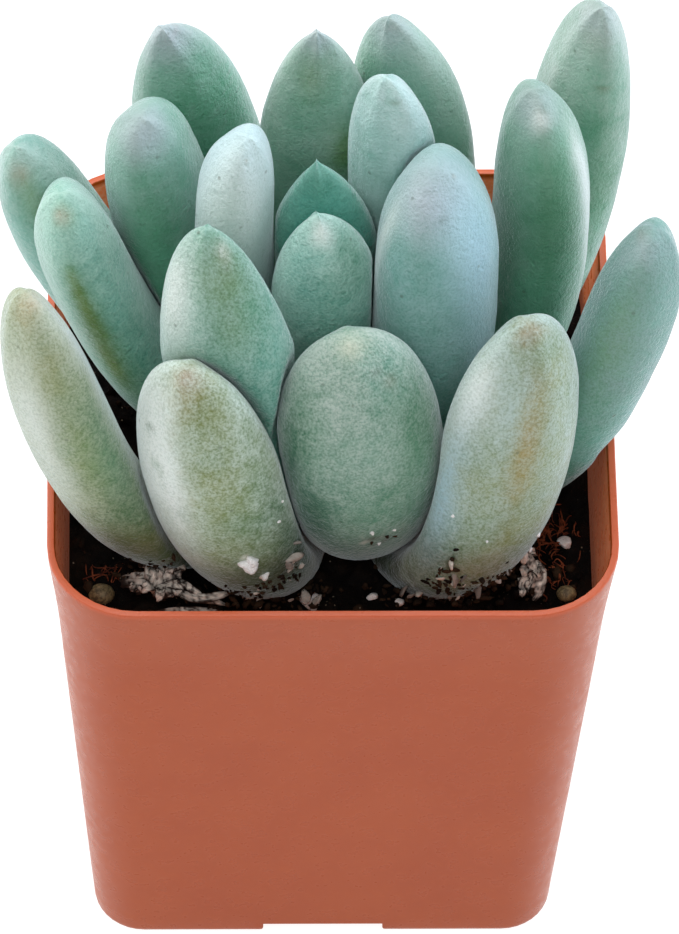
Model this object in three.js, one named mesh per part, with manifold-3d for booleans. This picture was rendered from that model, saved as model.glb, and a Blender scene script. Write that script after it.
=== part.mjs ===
// A potted clavifolia pachyveria: a rosette of plump blue-green leaves on a short stem,
// growing in gritty soil in a square moulded plastic pot.
// Millimetres, +Z up. The origin is the middle of the pot's footprint, on the surface it stands on.
// The front of the plant faces -Y.

import * as THREE from "three";
import { mergeVertices } from "three/addons/utils/BufferGeometryUtils.js";
import ManifoldModule from "manifold-3d";

const wasm = await ManifoldModule();
wasm.setup();

// Driving dimensions of the pot
const POT_HEIGHT = 70;
const RIM_SIDE = 64;
const FOOT_SIDE = 53.5;
const RIM_CORNER = 10;
const FOOT_CORNER = 5.8;
const WALL = 0.9;
const LIP_HEIGHT = 1.6;
const LIP_PROUD = 0.4;
const FOOT_CHAMFER = 0.4;
const CHANNEL_WIDTH = 14;
const CHANNEL_HEIGHT = 1.7;
const MIDDLE_DRAIN = 8;
const SIDE_DRAIN = 6;
const SIDE_DRAIN_FROM_MIDDLE = 15;
const DRAIN_SIDES = 16;
const CORNER_STEPS = 5;

// Driving dimensions of the soil and the stem
const GAP = 0.3;
const SOIL_LEVEL = 58.4;
const SOIL_BUMP = 0.5;
const SOIL_DIP = 1.8;
const SOIL_DIP_REACH = 11;
const SOIL_CELLS = 12;
const STEM_RADIUS = 4.2;
const STEM_FOOT = 38;
const STEM_SHOULDER = 67;
const STEM_TOP = 72.6;
const STEM_SIDES = 18;
const STEM_TAPER = 12;
const TOUCHING = 0.1;
const WELD = 1e-4;

// Driving proportions of a leaf. Lengths along it run from 0 at the stem to 1 at the tip.
const LEAF_BASE = 0.34;
const LEAF_WIDEST = 0.62;
const LEAF_SWELL = 1.1;
const LEAF_PLUMPNESS = 0.72;
const INNER_FACE = 0.42;
const OUTER_FACE = 0.58;
const LEAF_RINGS = 11;
const LEAF_SIDES = 11;
const CORE_SAMPLES = 26;
const CORE_LEAST = 0.3;
const CORE_REACH = 1.6;
const PRESS_MARGIN = 0.11;
const RIM_CLEARANCE = 2.6;
const PRESS_STEPS = 8;
const LEAST_SHARE = 0.1;
const AHEAD_KEEPS = 0.5;

// Colours and surfaces
const POT_COLOUR = 0xb5654a;
const POT_ROUGHNESS = 0.45;
const SOIL_COLOUR = 0x2a221c;
const SOIL_ROUGHNESS = 0.95;
const STEM_COLOUR = 0x7f8c6a;
const LEAF_ROUGHNESS = 0.6;

const BLUE_GREEN = 0x8fb0a6;
const PALE_BLUE = 0xa9c4c8;
const DEEP_GREEN = 0x5f9a82;
const OLIVE_GREEN = 0x8fa287;

// One row for each leaf: the side of the stem that it grows from, in degrees, the height of its
// root, the two points that steer its midline, its tip, its greatest width, and how blunt its tip is.
// Where two leaves crowd each other, the one listed first keeps more of its shape.
const LEAVES = [
  { name: "outer_leaf_front", turn: 283, root: 60, knee: [4.5, -20.5, 61.5], shoulder: [1.8, -15, 84],
    tip: [0.7, -13.2, 98], width: 20.2, blunt: 0.5, colour: BLUE_GREEN },
  { name: "outer_leaf_front_left", turn: 245, root: 57, knee: [-9, -25, 55.5], shoulder: [-14.8, -17.5, 78],
    tip: [-17.8, -18, 98], width: 16.8, blunt: 0.52, colour: OLIVE_GREEN },
  { name: "outer_leaf_front_right", turn: 305, root: 57, knee: [16.4, -28, 55], shoulder: [18.8, -12.6, 79.5],
    tip: [21.2, -13.5, 100.5], width: 17.7, blunt: 0.5, colour: OLIVE_GREEN },
  { name: "outer_leaf_left", turn: 215, root: 57, knee: [-21.6, -19.3, 55], shoulder: [-27.8, -17.8, 78],
    tip: [-35.4, -12, 103], width: 14, blunt: 0.5, colour: OLIVE_GREEN },
  { name: "inner_leaf_front_left", turn: 255, root: 64, knee: [-3.5, -24, 62], shoulder: [-11.8, -12.5, 84],
    tip: [-14.4, -7.8, 109], width: 16.3, blunt: 0.52, colour: BLUE_GREEN },
  { name: "inner_leaf_right", turn: 345, root: 66, knee: [12.5, -6, 66], shoulder: [10, 2.8, 88],
    tip: [9.8, 1, 110.5], width: 17, blunt: 0.46, colour: PALE_BLUE },
  { name: "outer_leaf_right", turn: 343, root: 58, knee: [26, -12.5, 59], shoulder: [30.9, -3.6, 80],
    tip: [35.5, -1.9, 102.5], width: 14.2, blunt: 0.5, colour: BLUE_GREEN },
  { name: "heart_leaf_front", turn: 290, root: 72.5, rootRadius: 2.6, knee: [1.5, -2.5, 76],
    shoulder: [-1.8, -1.5, 92], tip: [-2, -1.2, 103], width: 12.6, blunt: 0.62, colour: BLUE_GREEN },
  { name: "middle_leaf_left", turn: 185, root: 60, knee: [-19, -1.5, 64], shoulder: [-26.4, 1.5, 86],
    tip: [-31.4, 0.8, 106], width: 13.8, blunt: 0.5, colour: BLUE_GREEN },
  { name: "inner_leaf_left", turn: 160, root: 69, knee: [-12, 2, 78], shoulder: [-10.8, 5, 98],
    tip: [-10, 3.4, 112.5], width: 11.8, blunt: 0.46, colour: PALE_BLUE },
  { name: "inner_leaf_back_right", turn: 50, root: 67, knee: [8.5, 8, 74], shoulder: [6.8, 10.5, 98],
    tip: [5.5, 11.4, 112], width: 11.6, blunt: 0.6, colour: PALE_BLUE },
  { name: "middle_leaf_right", turn: 15, root: 60, knee: [26.5, 4.5, 62], shoulder: [22.4, 11.5, 88],
    tip: [21.6, 11.4, 110], width: 14.8, blunt: 0.5, colour: DEEP_GREEN },
  { name: "middle_leaf_back_left", turn: 155, root: 62, knee: [-14.5, 5.5, 66], shoulder: [-18.8, 13.5, 90],
    tip: [-22, 9.4, 109.5], width: 15, blunt: 0.48, colour: DEEP_GREEN },
  { name: "outer_leaf_back_left", turn: 158, root: 58, knee: [-19, 9, 60], shoulder: [-30, 11, 84],
    tip: [-36.2, 9.6, 103.5], width: 12.8, blunt: 0.6, colour: BLUE_GREEN },
  { name: "outer_leaf_back_right", turn: 25, root: 58, knee: [26.5, 10.5, 60], shoulder: [26.5, 28.5, 84],
    tip: [29.2, 22, 111], width: 15.4, blunt: 0.64, colour: DEEP_GREEN },
  { name: "heart_leaf_back", turn: 93, root: 72.5, rootRadius: 2.6, knee: [-0.5, 5, 77],
    shoulder: [-1, 6, 93], tip: [-1.9, 4, 105], width: 12.6, blunt: 0.72, colour: DEEP_GREEN },
  { name: "upper_leaf_back", turn: 92, root: 58, knee: [-0.5, 16, 62], shoulder: [-2.2, 22.8, 90],
    tip: [-1.9, 19.4, 109.5], width: 15.2, blunt: 0.64, colour: DEEP_GREEN },
  { name: "upper_leaf_back_right", turn: 60, root: 58, knee: [12, 17.5, 62], shoulder: [10.2, 24.5, 88],
    tip: [6.2, 23.6, 107], width: 15, blunt: 0.64, colour: DEEP_GREEN },
  { name: "upper_leaf_back_left", turn: 125, root: 58, knee: [-11, 19, 62], shoulder: [-15, 25.5, 88],
    tip: [-18.7, 22, 107], width: 15.2, blunt: 0.66, colour: DEEP_GREEN },
];

// Withered lower leaves that have dropped on the soil. Each is a thin curled blade with the
// midline through four points.
const WITHERED_COLOUR = 0x8f8880;
const WITHERED_PLUMPNESS = 0.34;
const WITHERED_BLUNT = 0.7;
const WITHERED_RINGS = 8;
const WITHERED_SIDES = 8;
const WITHERED = [
  { name: "withered_leaf_left", line: [[-23.6, -19.6, 59.6], [-21.4, -20.4, 62], [-19, -20.8, 61.6],
    [-17, -21.2, 59.4]], width: 4 },
  { name: "withered_leaf_left_long", line: [[-20, -23.6, 59.2], [-17.4, -24.2, 60.8], [-15.4, -24.2, 60.6],
    [-12.6, -23.4, 59.4]], width: 2.6 },
  { name: "withered_leaf_right", line: [[21.6, -17.6, 60], [23.4, -19, 62.4], [24, -20.4, 61.2],
    [22.9, -22, 59.3]], width: 3 },
];

// White perlite grains and two small pebbles lying half in the soil, each a little flattened
const GRAIN_FLATTENING = [1, 0.85, 0.75];
const PERLITE_COLOUR = 0xe8e6e0;
const PERLITE = [
  { name: "perlite_grain_1", at: [-2.4, -21.3], size: 1.1 },
  { name: "perlite_grain_2", at: [7.6, -21.9], size: 0.7 },
  { name: "perlite_grain_3", at: [4.6, -20.6], size: 0.65 },
  { name: "perlite_grain_4", at: [26.6, -13.5], size: 0.75 },
  { name: "perlite_grain_5", at: [-26, 25.2], size: 0.8 },
  { name: "perlite_grain_6", at: [25.8, 25.6], size: 0.85 },
];
const PEBBLES = [
  { name: "pebble_left", at: [-25.9, -20.2], size: 1.5, colour: 0x9a9460 },
  { name: "pebble_right", at: [26.6, -20.6], size: 1.2, colour: 0x6a5a40 },
];

// A geometry with its shared corners merged and without the flat triangles at a pole
function merged(geometry) {
  const bare = new THREE.BufferGeometry();
  bare.setAttribute("position", geometry.getAttribute("position"));
  bare.setIndex(geometry.getIndex());
  const whole = mergeVertices(bare, WELD);
  const index = whole.getIndex().array;
  const kept = [];
  for (let k = 0; k < index.length; k += 3) {
    const [a, b, c] = index.slice(k, k + 3);
    if (a !== b && b !== c && c !== a) {
      kept.push(a, b, c);
    }
  }
  whole.setIndex(kept);
  return whole;
}

// A mesh as a solid, and a solid as a geometry
function toSolid(geometry) {
  const whole = merged(geometry);
  const mesh = new wasm.Mesh({
    numProp: 3,
    vertProperties: new Float32Array(whole.getAttribute("position").array),
    triVerts: new Uint32Array(whole.getIndex().array),
  });
  return new wasm.Manifold(mesh);
}

function toGeometry(solid) {
  const mesh = solid.getMesh();
  const geometry = new THREE.BufferGeometry();
  geometry.setAttribute("position", new THREE.BufferAttribute(new Float32Array(mesh.vertProperties), 3));
  geometry.setIndex(new THREE.BufferAttribute(new Uint32Array(mesh.triVerts), 1));
  return geometry;
}

// The largest loose piece of a solid that a cut may have split
function largestPiece(solid) {
  const pieces = solid.decompose();
  pieces.sort((a, b) => b.volume() - a.volume());
  return pieces[0];
}

// A closed surface through rings of points that all hold the same number of points, with a
// middle point closing each end. The rings run anticlockwise seen from the last ring.
function loft(rings, firstMiddle, lastMiddle) {
  const around = rings[0].length;
  const points = rings.flat();
  const first = points.push(firstMiddle) - 1;
  const last = points.push(lastMiddle) - 1;
  const faces = [];
  for (let k = 0; k < around; k++) {
    const next = (k + 1) % around;
    faces.push(first, next, k);
    for (let r = 0; r + 1 < rings.length; r++) {
      const low = r * around;
      const high = low + around;
      faces.push(low + k, low + next, high + next);
      faces.push(low + k, high + next, high + k);
    }
    const top = (rings.length - 1) * around;
    faces.push(last, top + k, top + next);
  }
  const geometry = new THREE.BufferGeometry();
  geometry.setFromPoints(points);
  geometry.setIndex(faces);
  return geometry;
}

// The same surface moved outward by a distance along its vertex normals
function grown(geometry, distance) {
  const copy = merged(geometry);
  copy.computeVertexNormals();
  const position = copy.getAttribute("position");
  const normal = copy.getAttribute("normal");
  for (let k = 0; k < position.count; k++) {
    position.setXYZ(
      k,
      position.getX(k) + distance * normal.getX(k),
      position.getY(k) + distance * normal.getY(k),
      position.getZ(k) + distance * normal.getZ(k),
    );
  }
  return copy;
}

// One level of the pot: a square with round corners
function squareRing(side, corner, z) {
  const centre = side / 2 - corner;
  const ring = [];
  for (let quarter = 0; quarter < 4; quarter++) {
    const turn = quarter * Math.PI / 2;
    const middle = new THREE.Vector2(centre, centre).rotateAround(new THREE.Vector2(), turn);
    for (let k = 0; k <= CORNER_STEPS; k++) {
      const angle = turn + k / CORNER_STEPS * Math.PI / 2;
      const x = middle.x + corner * Math.cos(angle);
      const y = middle.y + corner * Math.sin(angle);
      ring.push(new THREE.Vector3(x, y, z));
    }
  }
  return ring;
}

// The outer side and corner of the tapered wall at a height
function wallAt(z, inset) {
  const up = z / POT_HEIGHT;
  const side = FOOT_SIDE + (RIM_SIDE - FOOT_SIDE) * up - 2 * inset;
  const corner = FOOT_CORNER + (RIM_CORNER - FOOT_CORNER) * up - inset;
  return [side, corner];
}

function taperedBlock(low, high, inset) {
  const rings = [low, high].map((z) => squareRing(...wallAt(z, inset), z));
  return loft(rings, new THREE.Vector3(0, 0, low), new THREE.Vector3(0, 0, high));
}

// The two crossing bars of the channel under the floor, from below the pot up to a height
function crossBars(width, low, high) {
  const length = 2 * RIM_SIDE;
  const bars = [[length, width], [width, length]].map(([x, y]) => {
    const bar = new THREE.BoxGeometry(x, y, high - low);
    bar.translate(0, 0, (low + high) / 2);
    return toSolid(bar);
  });
  return bars[0].add(bars[1]);
}

function drain(diameter, x, y) {
  const hole = new THREE.CylinderGeometry(diameter / 2, diameter / 2, 4 * CHANNEL_HEIGHT, DRAIN_SIDES);
  hole.rotateX(Math.PI / 2);
  hole.translate(x, y, CHANNEL_HEIGHT);
  return toSolid(hole);
}

// A thin tapered shell with a small lip, four corner feet left by a crossing channel, and drain
// holes through the raised floor of the channel
function makePot() {
  const lipFoot = POT_HEIGHT - LIP_HEIGHT;
  const [footSide, footCorner] = wallAt(0, 0);
  const outerRings = [
    squareRing(footSide - 2 * FOOT_CHAMFER, footCorner - FOOT_CHAMFER, 0),
    squareRing(...wallAt(FOOT_CHAMFER, 0), FOOT_CHAMFER),
    squareRing(...wallAt(lipFoot, LIP_PROUD), lipFoot),
    squareRing(...wallAt(lipFoot, 0), lipFoot + LIP_PROUD),
    squareRing(...wallAt(POT_HEIGHT, 0), POT_HEIGHT),
  ];
  const outside = toSolid(loft(outerRings, new THREE.Vector3(0, 0, 0), new THREE.Vector3(0, 0, POT_HEIGHT)));
  const ridge = crossBars(CHANNEL_WIDTH + 2 * WALL, -1, CHANNEL_HEIGHT + WALL);
  const hollow = toSolid(taperedBlock(WALL, POT_HEIGHT + 1, LIP_PROUD + WALL)).subtract(ridge);
  const channel = crossBars(CHANNEL_WIDTH, -1, CHANNEL_HEIGHT);
  let pot = outside.subtract(hollow).subtract(channel);
  pot = pot.subtract(drain(MIDDLE_DRAIN, 0, 0));
  for (let quarter = 0; quarter < 4; quarter++) {
    const angle = quarter * Math.PI / 2;
    const x = SIDE_DRAIN_FROM_MIDDLE * Math.cos(angle);
    const y = SIDE_DRAIN_FROM_MIDDLE * Math.sin(angle);
    pot = pot.subtract(drain(SIDE_DRAIN, x, y));
  }
  return toGeometry(pot);
}

// The height of the soil's surface: crumbs and hollows, and a dip that watering left round the stem
function soilHeight(x, y) {
  const crumbs = Math.sin(0.9 * x + 1.3) * Math.sin(0.8 * y - 0.4) + 0.6 * Math.sin(1.7 * x - 0.9 * y);
  const dip = SOIL_DIP * Math.exp(-(x * x + y * y) / SOIL_DIP_REACH ** 2);
  return SOIL_LEVEL - dip + SOIL_BUMP * crumbs;
}

// Everything under the soil's surface, as a block with a bumpy top
function groundBlock() {
  const half = RIM_SIDE / 2;
  const top = new THREE.BoxGeometry(2 * half, 2 * half, SOIL_LEVEL, SOIL_CELLS, SOIL_CELLS, 1);
  top.translate(0, 0, SOIL_LEVEL / 2);
  const position = top.getAttribute("position");
  for (let k = 0; k < position.count; k++) {
    if (position.getZ(k) > SOIL_LEVEL / 2) {
      position.setZ(k, soilHeight(position.getX(k), position.getY(k)));
    }
  }
  return toSolid(top);
}

// The root ball fills the pot to a gap and leaves room for all that lies or grows in it
function makeSoil(buried) {
  const ridge = crossBars(CHANNEL_WIDTH + 2 * (WALL + GAP), -1, CHANNEL_HEIGHT + WALL + GAP);
  const filling = toSolid(taperedBlock(WALL + GAP, POT_HEIGHT - 1, LIP_PROUD + WALL + GAP));
  let soil = filling.subtract(ridge).intersect(groundBlock());
  for (const geometry of buried) {
    soil = soil.subtract(toSolid(grown(geometry, GAP)));
  }
  return toGeometry(largestPiece(soil));
}

// A short stem from inside the soil to the growing point, widest where the leaves stand
function makeStem() {
  const profile = [
    new THREE.Vector2(0, STEM_FOOT),
    new THREE.Vector2(0.5 * STEM_RADIUS, STEM_FOOT),
    new THREE.Vector2(0.8 * STEM_RADIUS, STEM_FOOT + STEM_TAPER / 3),
    new THREE.Vector2(STEM_RADIUS, STEM_FOOT + STEM_TAPER),
    new THREE.Vector2(STEM_RADIUS, STEM_SHOULDER),
    new THREE.Vector2(0.8 * STEM_RADIUS, (STEM_SHOULDER + STEM_TOP) / 2 + 1),
    new THREE.Vector2(0.4 * STEM_RADIUS, STEM_TOP - 0.4),
    new THREE.Vector2(0, STEM_TOP),
  ];
  const stem = new THREE.LatheGeometry(profile, STEM_SIDES);
  stem.rotateX(Math.PI / 2);
  return stem;
}

// The half width and the thickness of a leaf at a length along it
function leafSize(leaf, s) {
  const toWidest = Math.min(s / LEAF_WIDEST, 1);
  const pastWidest = Math.max((s - LEAF_WIDEST) / (1 - LEAF_WIDEST), 0);
  const swell = LEAF_BASE + (1 - LEAF_BASE) * Math.sin(toWidest * Math.PI / 2) ** LEAF_SWELL;
  const taper = Math.max(1 - pastWidest ** 2, 0) ** leaf.blunt;
  const full = s < LEAF_WIDEST ? swell : taper;
  const thin = Math.sqrt(Math.max(1 - pastWidest ** 3, 0));
  return { halfWidth: full * leaf.width / 2, thickness: full * thin * leaf.width * leaf.plumpness };
}

// The midline of a leaf, with the directions along it, across it and towards its inner face
function leafFrames(leaf, lengths) {
  const curve = new THREE.CubicBezierCurve3(...leaf.line.map((point) => new THREE.Vector3(...point)));
  const turn = leaf.turn * Math.PI / 180;
  const level = new THREE.Vector3(-Math.sin(turn), Math.cos(turn), 0);
  return lengths.map((s) => {
    const along = curve.getTangent(s);
    const inward = new THREE.Vector3().crossVectors(along, level).normalize();
    const across = new THREE.Vector3().crossVectors(inward, along);
    return { at: curve.getPoint(s), along, across, inward, ...leafSize(leaf, s) };
  });
}

// The ellipsoids strung along a leaf's midline that its depth is measured from
function leafCore(leaf) {
  const lengths = Array.from({ length: CORE_SAMPLES }, (_, k) => k / (CORE_SAMPLES - 1));
  return leafFrames(leaf, lengths).map((frame) => ({
    ...frame,
    halfWidth: Math.max(frame.halfWidth, CORE_LEAST),
    thickness: Math.max(frame.thickness, 2 * CORE_LEAST),
    reach: Math.max(frame.thickness / 2, CORE_REACH),
  }));
}

// How deep a point lies in a leaf: 0 on its midline, 1 at its skin and more outside
function depthInLeaf(core, point) {
  const offset = new THREE.Vector3();
  let least = Infinity;
  for (const frame of core) {
    offset.subVectors(point, frame.at);
    const inward = offset.dot(frame.inward);
    const face = inward > 0 ? INNER_FACE : OUTER_FACE;
    const through = inward / (face * frame.thickness);
    const across = offset.dot(frame.across) / frame.halfWidth;
    const along = offset.dot(frame.along) / frame.reach;
    least = Math.min(least, across ** 2 + through ** 2 + along ** 2);
  }
  return Math.sqrt(least);
}

// How deep a point lies in the stem, by the same measure
function depthInStem(point) {
  const radial = Math.hypot(point.x, point.y) / STEM_RADIUS;
  const above = Math.max(point.z - STEM_SHOULDER, 0) / (STEM_TOP - STEM_SHOULDER);
  return Math.hypot(radial, above);
}

// Whether a point lies above the rim or inside the pot's wall, with room to spare
function isClearOfPot(point) {
  if (point.z > POT_HEIGHT + RIM_CLEARANCE) {
    return true;
  }
  const [side, corner] = wallAt(point.z, LIP_PROUD + WALL + 2 * GAP);
  const x = Math.abs(point.x) - (side / 2 - corner);
  const y = Math.abs(point.y) - (side / 2 - corner);
  return Math.hypot(Math.max(x, 0), Math.max(y, 0)) + Math.min(Math.max(x, y), 0) < corner;
}

// Whether a point at a share of the way to its own leaf's skin leaves a neighbour its room
function leavesRoom(point, share, neighbour) {
  const depth = depthInLeaf(neighbour.core, point);
  const limit = neighbour.isAhead ? Math.min(share / AHEAD_KEEPS, 1) : AHEAD_KEEPS * share;
  return depth > limit + PRESS_MARGIN;
}

// Pulls a point of a leaf's skin towards the midline until it is clear of the stem, the pot and
// the neighbours' room, so that two leaves that crowd each other meet in a flattened contact
function pressed(middle, skin, neighbours) {
  const isClear = (share) => {
    const point = middle.clone().lerp(skin, share);
    if (depthInStem(point) < 1 + PRESS_MARGIN || !isClearOfPot(point)) {
      return false;
    }
    return neighbours.every((neighbour) => leavesRoom(point, share, neighbour));
  };
  if (isClear(1)) {
    return skin;
  }
  let low = LEAST_SHARE;
  let high = 1;
  for (let step = 0; step < PRESS_STEPS; step++) {
    const share = (low + high) / 2;
    if (isClear(share)) {
      low = share;
    } else {
      high = share;
    }
  }
  return middle.clone().lerp(skin, low);
}

// A leaf's closed skin: rings round its midline, closer together towards the tip
function makeLeaf(leaf, neighbours, count, sides) {
  const lengths = Array.from({ length: count }, (_, k) => {
    const even = k / count;
    return 0.5 * Math.sin(even * Math.PI / 2) + 0.5 * even;
  });
  const rings = leafFrames(leaf, lengths).map((frame) => {
    return Array.from({ length: sides }, (_, k) => {
      const angle = k / sides * 2 * Math.PI;
      const face = Math.sin(angle) > 0 ? INNER_FACE : OUTER_FACE;
      const skin = frame.at.clone();
      skin.addScaledVector(frame.across, frame.halfWidth * Math.cos(angle));
      skin.addScaledVector(frame.inward, frame.thickness * face * Math.sin(angle));
      return pressed(frame.at, skin, neighbours);
    });
  });
  const root = new THREE.Vector3(...leaf.line[0]);
  const tip = new THREE.Vector3(...leaf.line[3]);
  return loft(rings, root, tip);
}

// Where a facetted leaf still touches the pot or an earlier leaf, it is cut back by a gap
function trimmed(geometries, pot) {
  const done = [];
  for (const geometry of geometries) {
    let solid = toSolid(geometry);
    for (const earlier of [pot, ...done]) {
      if (solid.intersect(toSolid(grown(earlier, TOUCHING))).volume() > 0) {
        solid = largestPiece(solid.subtract(toSolid(grown(earlier, GAP))));
      }
    }
    done.push(toGeometry(solid));
  }
  return done;
}

// A leaf on the stem starts a gap away from the stem's skin, on its own side
function livingLeaf(row) {
  const turn = row.turn * Math.PI / 180;
  const radius = row.rootRadius ?? STEM_RADIUS + GAP;
  const root = [radius * Math.cos(turn), radius * Math.sin(turn), row.root];
  return { ...row, line: [root, row.knee, row.shoulder, row.tip], plumpness: LEAF_PLUMPNESS };
}

// A withered leaf lies on the soil along its own line
function witheredLeaf(row) {
  const [start, , , end] = row.line;
  const turn = Math.atan2(end[1] - start[1], end[0] - start[0]) * 180 / Math.PI;
  return { ...row, turn, blunt: WITHERED_BLUNT, plumpness: WITHERED_PLUMPNESS, colour: WITHERED_COLOUR };
}

function namedMesh(name, geometry, colour, roughness) {
  const material = new THREE.MeshStandardMaterial({ color: colour, roughness, metalness: 0 });
  const mesh = new THREE.Mesh(geometry, material);
  mesh.name = name;
  return mesh;
}

// A grain lies with its middle at the soil's surface, turned its own way
function grainMesh(row, number, detail, colour, roughness) {
  const [x, y] = row.at;
  const mesh = namedMesh(row.name, new THREE.IcosahedronGeometry(row.size, detail), colour, roughness);
  mesh.scale.set(...GRAIN_FLATTENING);
  mesh.rotation.set(0, 0, number);
  mesh.position.set(x, y, soilHeight(x, y));
  mesh.updateMatrixWorld();
  return mesh;
}

function inPlace(mesh) {
  return mesh.geometry.clone().applyMatrix4(mesh.matrixWorld);
}

const living = LEAVES.map(livingLeaf);
const rooms = living.map((leaf, k) => ({ core: leafCore(leaf), rank: k }));
const potShell = makePot();
const leafSkins = living.map((leaf, k) => {
  const others = rooms.filter((room) => room.rank !== k);
  const neighbours = others.map((room) => ({ core: room.core, isAhead: room.rank < k }));
  return makeLeaf(leaf, neighbours, LEAF_RINGS, LEAF_SIDES);
});
const leafMeshes = trimmed(leafSkins, potShell).map((geometry, k) => {
  return namedMesh(living[k].name, geometry, living[k].colour, LEAF_ROUGHNESS);
});
const allAhead = rooms.map((room) => ({ core: room.core, isAhead: true }));
const witheredMeshes = WITHERED.map(witheredLeaf).map((leaf) => {
  const blade = makeLeaf(leaf, allAhead, WITHERED_RINGS, WITHERED_SIDES);
  return namedMesh(leaf.name, blade, leaf.colour, SOIL_ROUGHNESS);
});
const perliteMeshes = PERLITE.map((row, k) => grainMesh(row, k, 0, PERLITE_COLOUR, SOIL_ROUGHNESS));
const pebbleMeshes = PEBBLES.map((row, k) => grainMesh(row, k, 1, row.colour, SOIL_ROUGHNESS));
const stem = namedMesh("stem", makeStem(), STEM_COLOUR, LEAF_ROUGHNESS);
const inSoil = [stem, ...leafMeshes, ...witheredMeshes, ...perliteMeshes, ...pebbleMeshes];
const soil = namedMesh("soil", makeSoil(inSoil.map(inPlace)), SOIL_COLOUR, SOIL_ROUGHNESS);
const pot = namedMesh("pot", potShell, POT_COLOUR, POT_ROUGHNESS);

const plant = new THREE.Group();
plant.add(pot, soil, ...inSoil);

export default plant;
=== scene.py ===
import math
from collections import namedtuple

import bpy
import numpy as np
from mathutils import Matrix


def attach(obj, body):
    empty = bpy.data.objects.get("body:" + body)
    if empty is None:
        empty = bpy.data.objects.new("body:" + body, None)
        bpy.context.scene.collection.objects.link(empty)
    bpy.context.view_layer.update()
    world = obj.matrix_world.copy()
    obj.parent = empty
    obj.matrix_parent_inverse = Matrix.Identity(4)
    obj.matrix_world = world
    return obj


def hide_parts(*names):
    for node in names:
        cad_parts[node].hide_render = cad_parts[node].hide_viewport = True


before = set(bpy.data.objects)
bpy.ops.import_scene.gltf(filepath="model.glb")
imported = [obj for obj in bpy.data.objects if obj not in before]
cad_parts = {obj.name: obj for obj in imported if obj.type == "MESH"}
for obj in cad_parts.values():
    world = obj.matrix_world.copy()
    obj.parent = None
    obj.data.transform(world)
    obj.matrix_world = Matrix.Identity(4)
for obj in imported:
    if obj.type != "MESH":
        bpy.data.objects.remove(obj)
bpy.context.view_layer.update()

bl_info = {
    "name": "Potted clavifolia pachyveria",
    "version": (1, 0, 0),
    "blender": (4, 5, 0),
    "location": "View3D > Sidebar > Pachyveria",
    "description": "Builds the leaves, soil and pot of a potted pachyveria round its CAD frame",
    "category": "Add Mesh",
}

# Sizes of the pot, the soil and the stem in millimetres, as the CAD has them, but for SEEN_WALL, the
# thinner wall that the photo shows at the rim
POT_HEIGHT = 70
RIM_SIDE = 64
FOOT_SIDE = 53.5
RIM_CORNER = 10
FOOT_CORNER = 5.8
WALL = 0.9
SEEN_WALL = 0.95
LIP_HEIGHT = 1.6
LIP_PROUD = 0.4
CHANNEL_WIDTH = 14
CHANNEL_HEIGHT = 1.7
DRAINS = [(0, 0, 4), (15, 0, 3), (0, 15, 3), (-15, 0, 3), (0, -15, 3)]
DRAIN_SIDES = 32
GAP = 0.3
SOIL_LEVEL = 58.4
SOIL_BUMP = 0.5
SOIL_DIP = 1.8
SOIL_DIP_REACH = 11
SOIL_FLOOR = 3.2
STEM_RADIUS = 4.2
STEM_SHOULDER = 67
STEM_TOP = 72.6

# Levels and reach of the bodies that are cut out of the pot, which end outside it
BELOW_FLOOR = -1
DRAIN_TOP = 6
ABOVE_RIM = 71
BAR_REACH = 50

# Levels of the rings that carry the soil's edge down the wall
SKIRT_LEVELS = (SOIL_LEVEL - 4, 40.0, 20.0, SOIL_FLOOR)

# Outlines of the pot's wall, as pairs of a height and how far the wall lies inside its straight
# taper: round the foot, where the lip blends into the wall, and over the rim, whose heights are
# counted down from the top. The last is the inner wall at the rim, and how far it opens out.
FOOT_OUTLINE = [(0, 0.6), (0.06, 0.36), (0.2, 0.16), (0.45, 0.04), (0.9, 0.0)]
LIP_OUTLINE = [(58, 0.33), (61, 0.29), (64, 0.2), (66.5, 0.1), (POT_HEIGHT - LIP_HEIGHT, 0.03)]
RIM_OUTLINE = [(0.8, 0.0), (0.28, 0.0), (0.12, 0.04), (0.03, 0.12), (0, 0.22)]
INNER_RIM_OUTLINE = [(69.75, 0.02), (69.9, 0.08), (70.05, 0.2), (ABOVE_RIM, 0.24)]
CHANNEL_ROUNDING = 1.0

# How far the moulded walls stray from flat, over what distance, how far their heights are drawn
# together for it, which stretches the waves upwards, and a seed. The foot stays flat, and a wall
# lies about WALL_DISTANCE from the middle.
WALL_WAVES = [(0.07, 13, 0.4, 61), (0.025, 3.5, 1, 66)]
WAVES_RISE = (0.5, 6)
WALL_DISTANCE = 30

# The angle in degrees up to which the pot is shaded smooth. Then come how far from its inner face a point
# may lie and still count as on it, and up to what height; that face is painted lighter and glows, as painted
# light. The paler edge of the rim is a painted highlight, which comes up between two heights, and has its
# own reach inwards and its strength.
SMOOTH_BELOW = 32
FACE_MARGIN = 0.3
INNER_FACE_TOP = 69.7
RIM_HIGHLIGHT_HEIGHTS = (69.5, 69.85)
RIM_HIGHLIGHT_REACH = 0.2
RIM_HIGHLIGHT_STRENGTH = 0.75

# Proportions of a leaf, as the CAD has them, and how closely leaves may crowd each other. Lengths
# along a leaf run from 0 at the stem to 1 at the tip.
LEAF_BASE = 0.34
LEAF_WIDEST = 0.62
LEAF_SWELL = 1.1
LEAF_PLUMPNESS = 0.72
TIP_THINNING = 0.25
INNER_FACE = 0.42
OUTER_FACE = 0.58
HEART_ROOT_RADIUS = 2.6
CORE_SAMPLES = 26
CORE_LEAST = 0.3
CORE_REACH = 1.6
PRESS_MARGIN = 0.06
RIM_CLEARANCE = 2.6
PRESS_STEPS = 9
LEAST_SHARE = 0.1
SOFTENINGS = 8
AHEAD_KEEPS = 0.5
LEAF_RINGS = 96
LEAF_SIDES = 64

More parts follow.
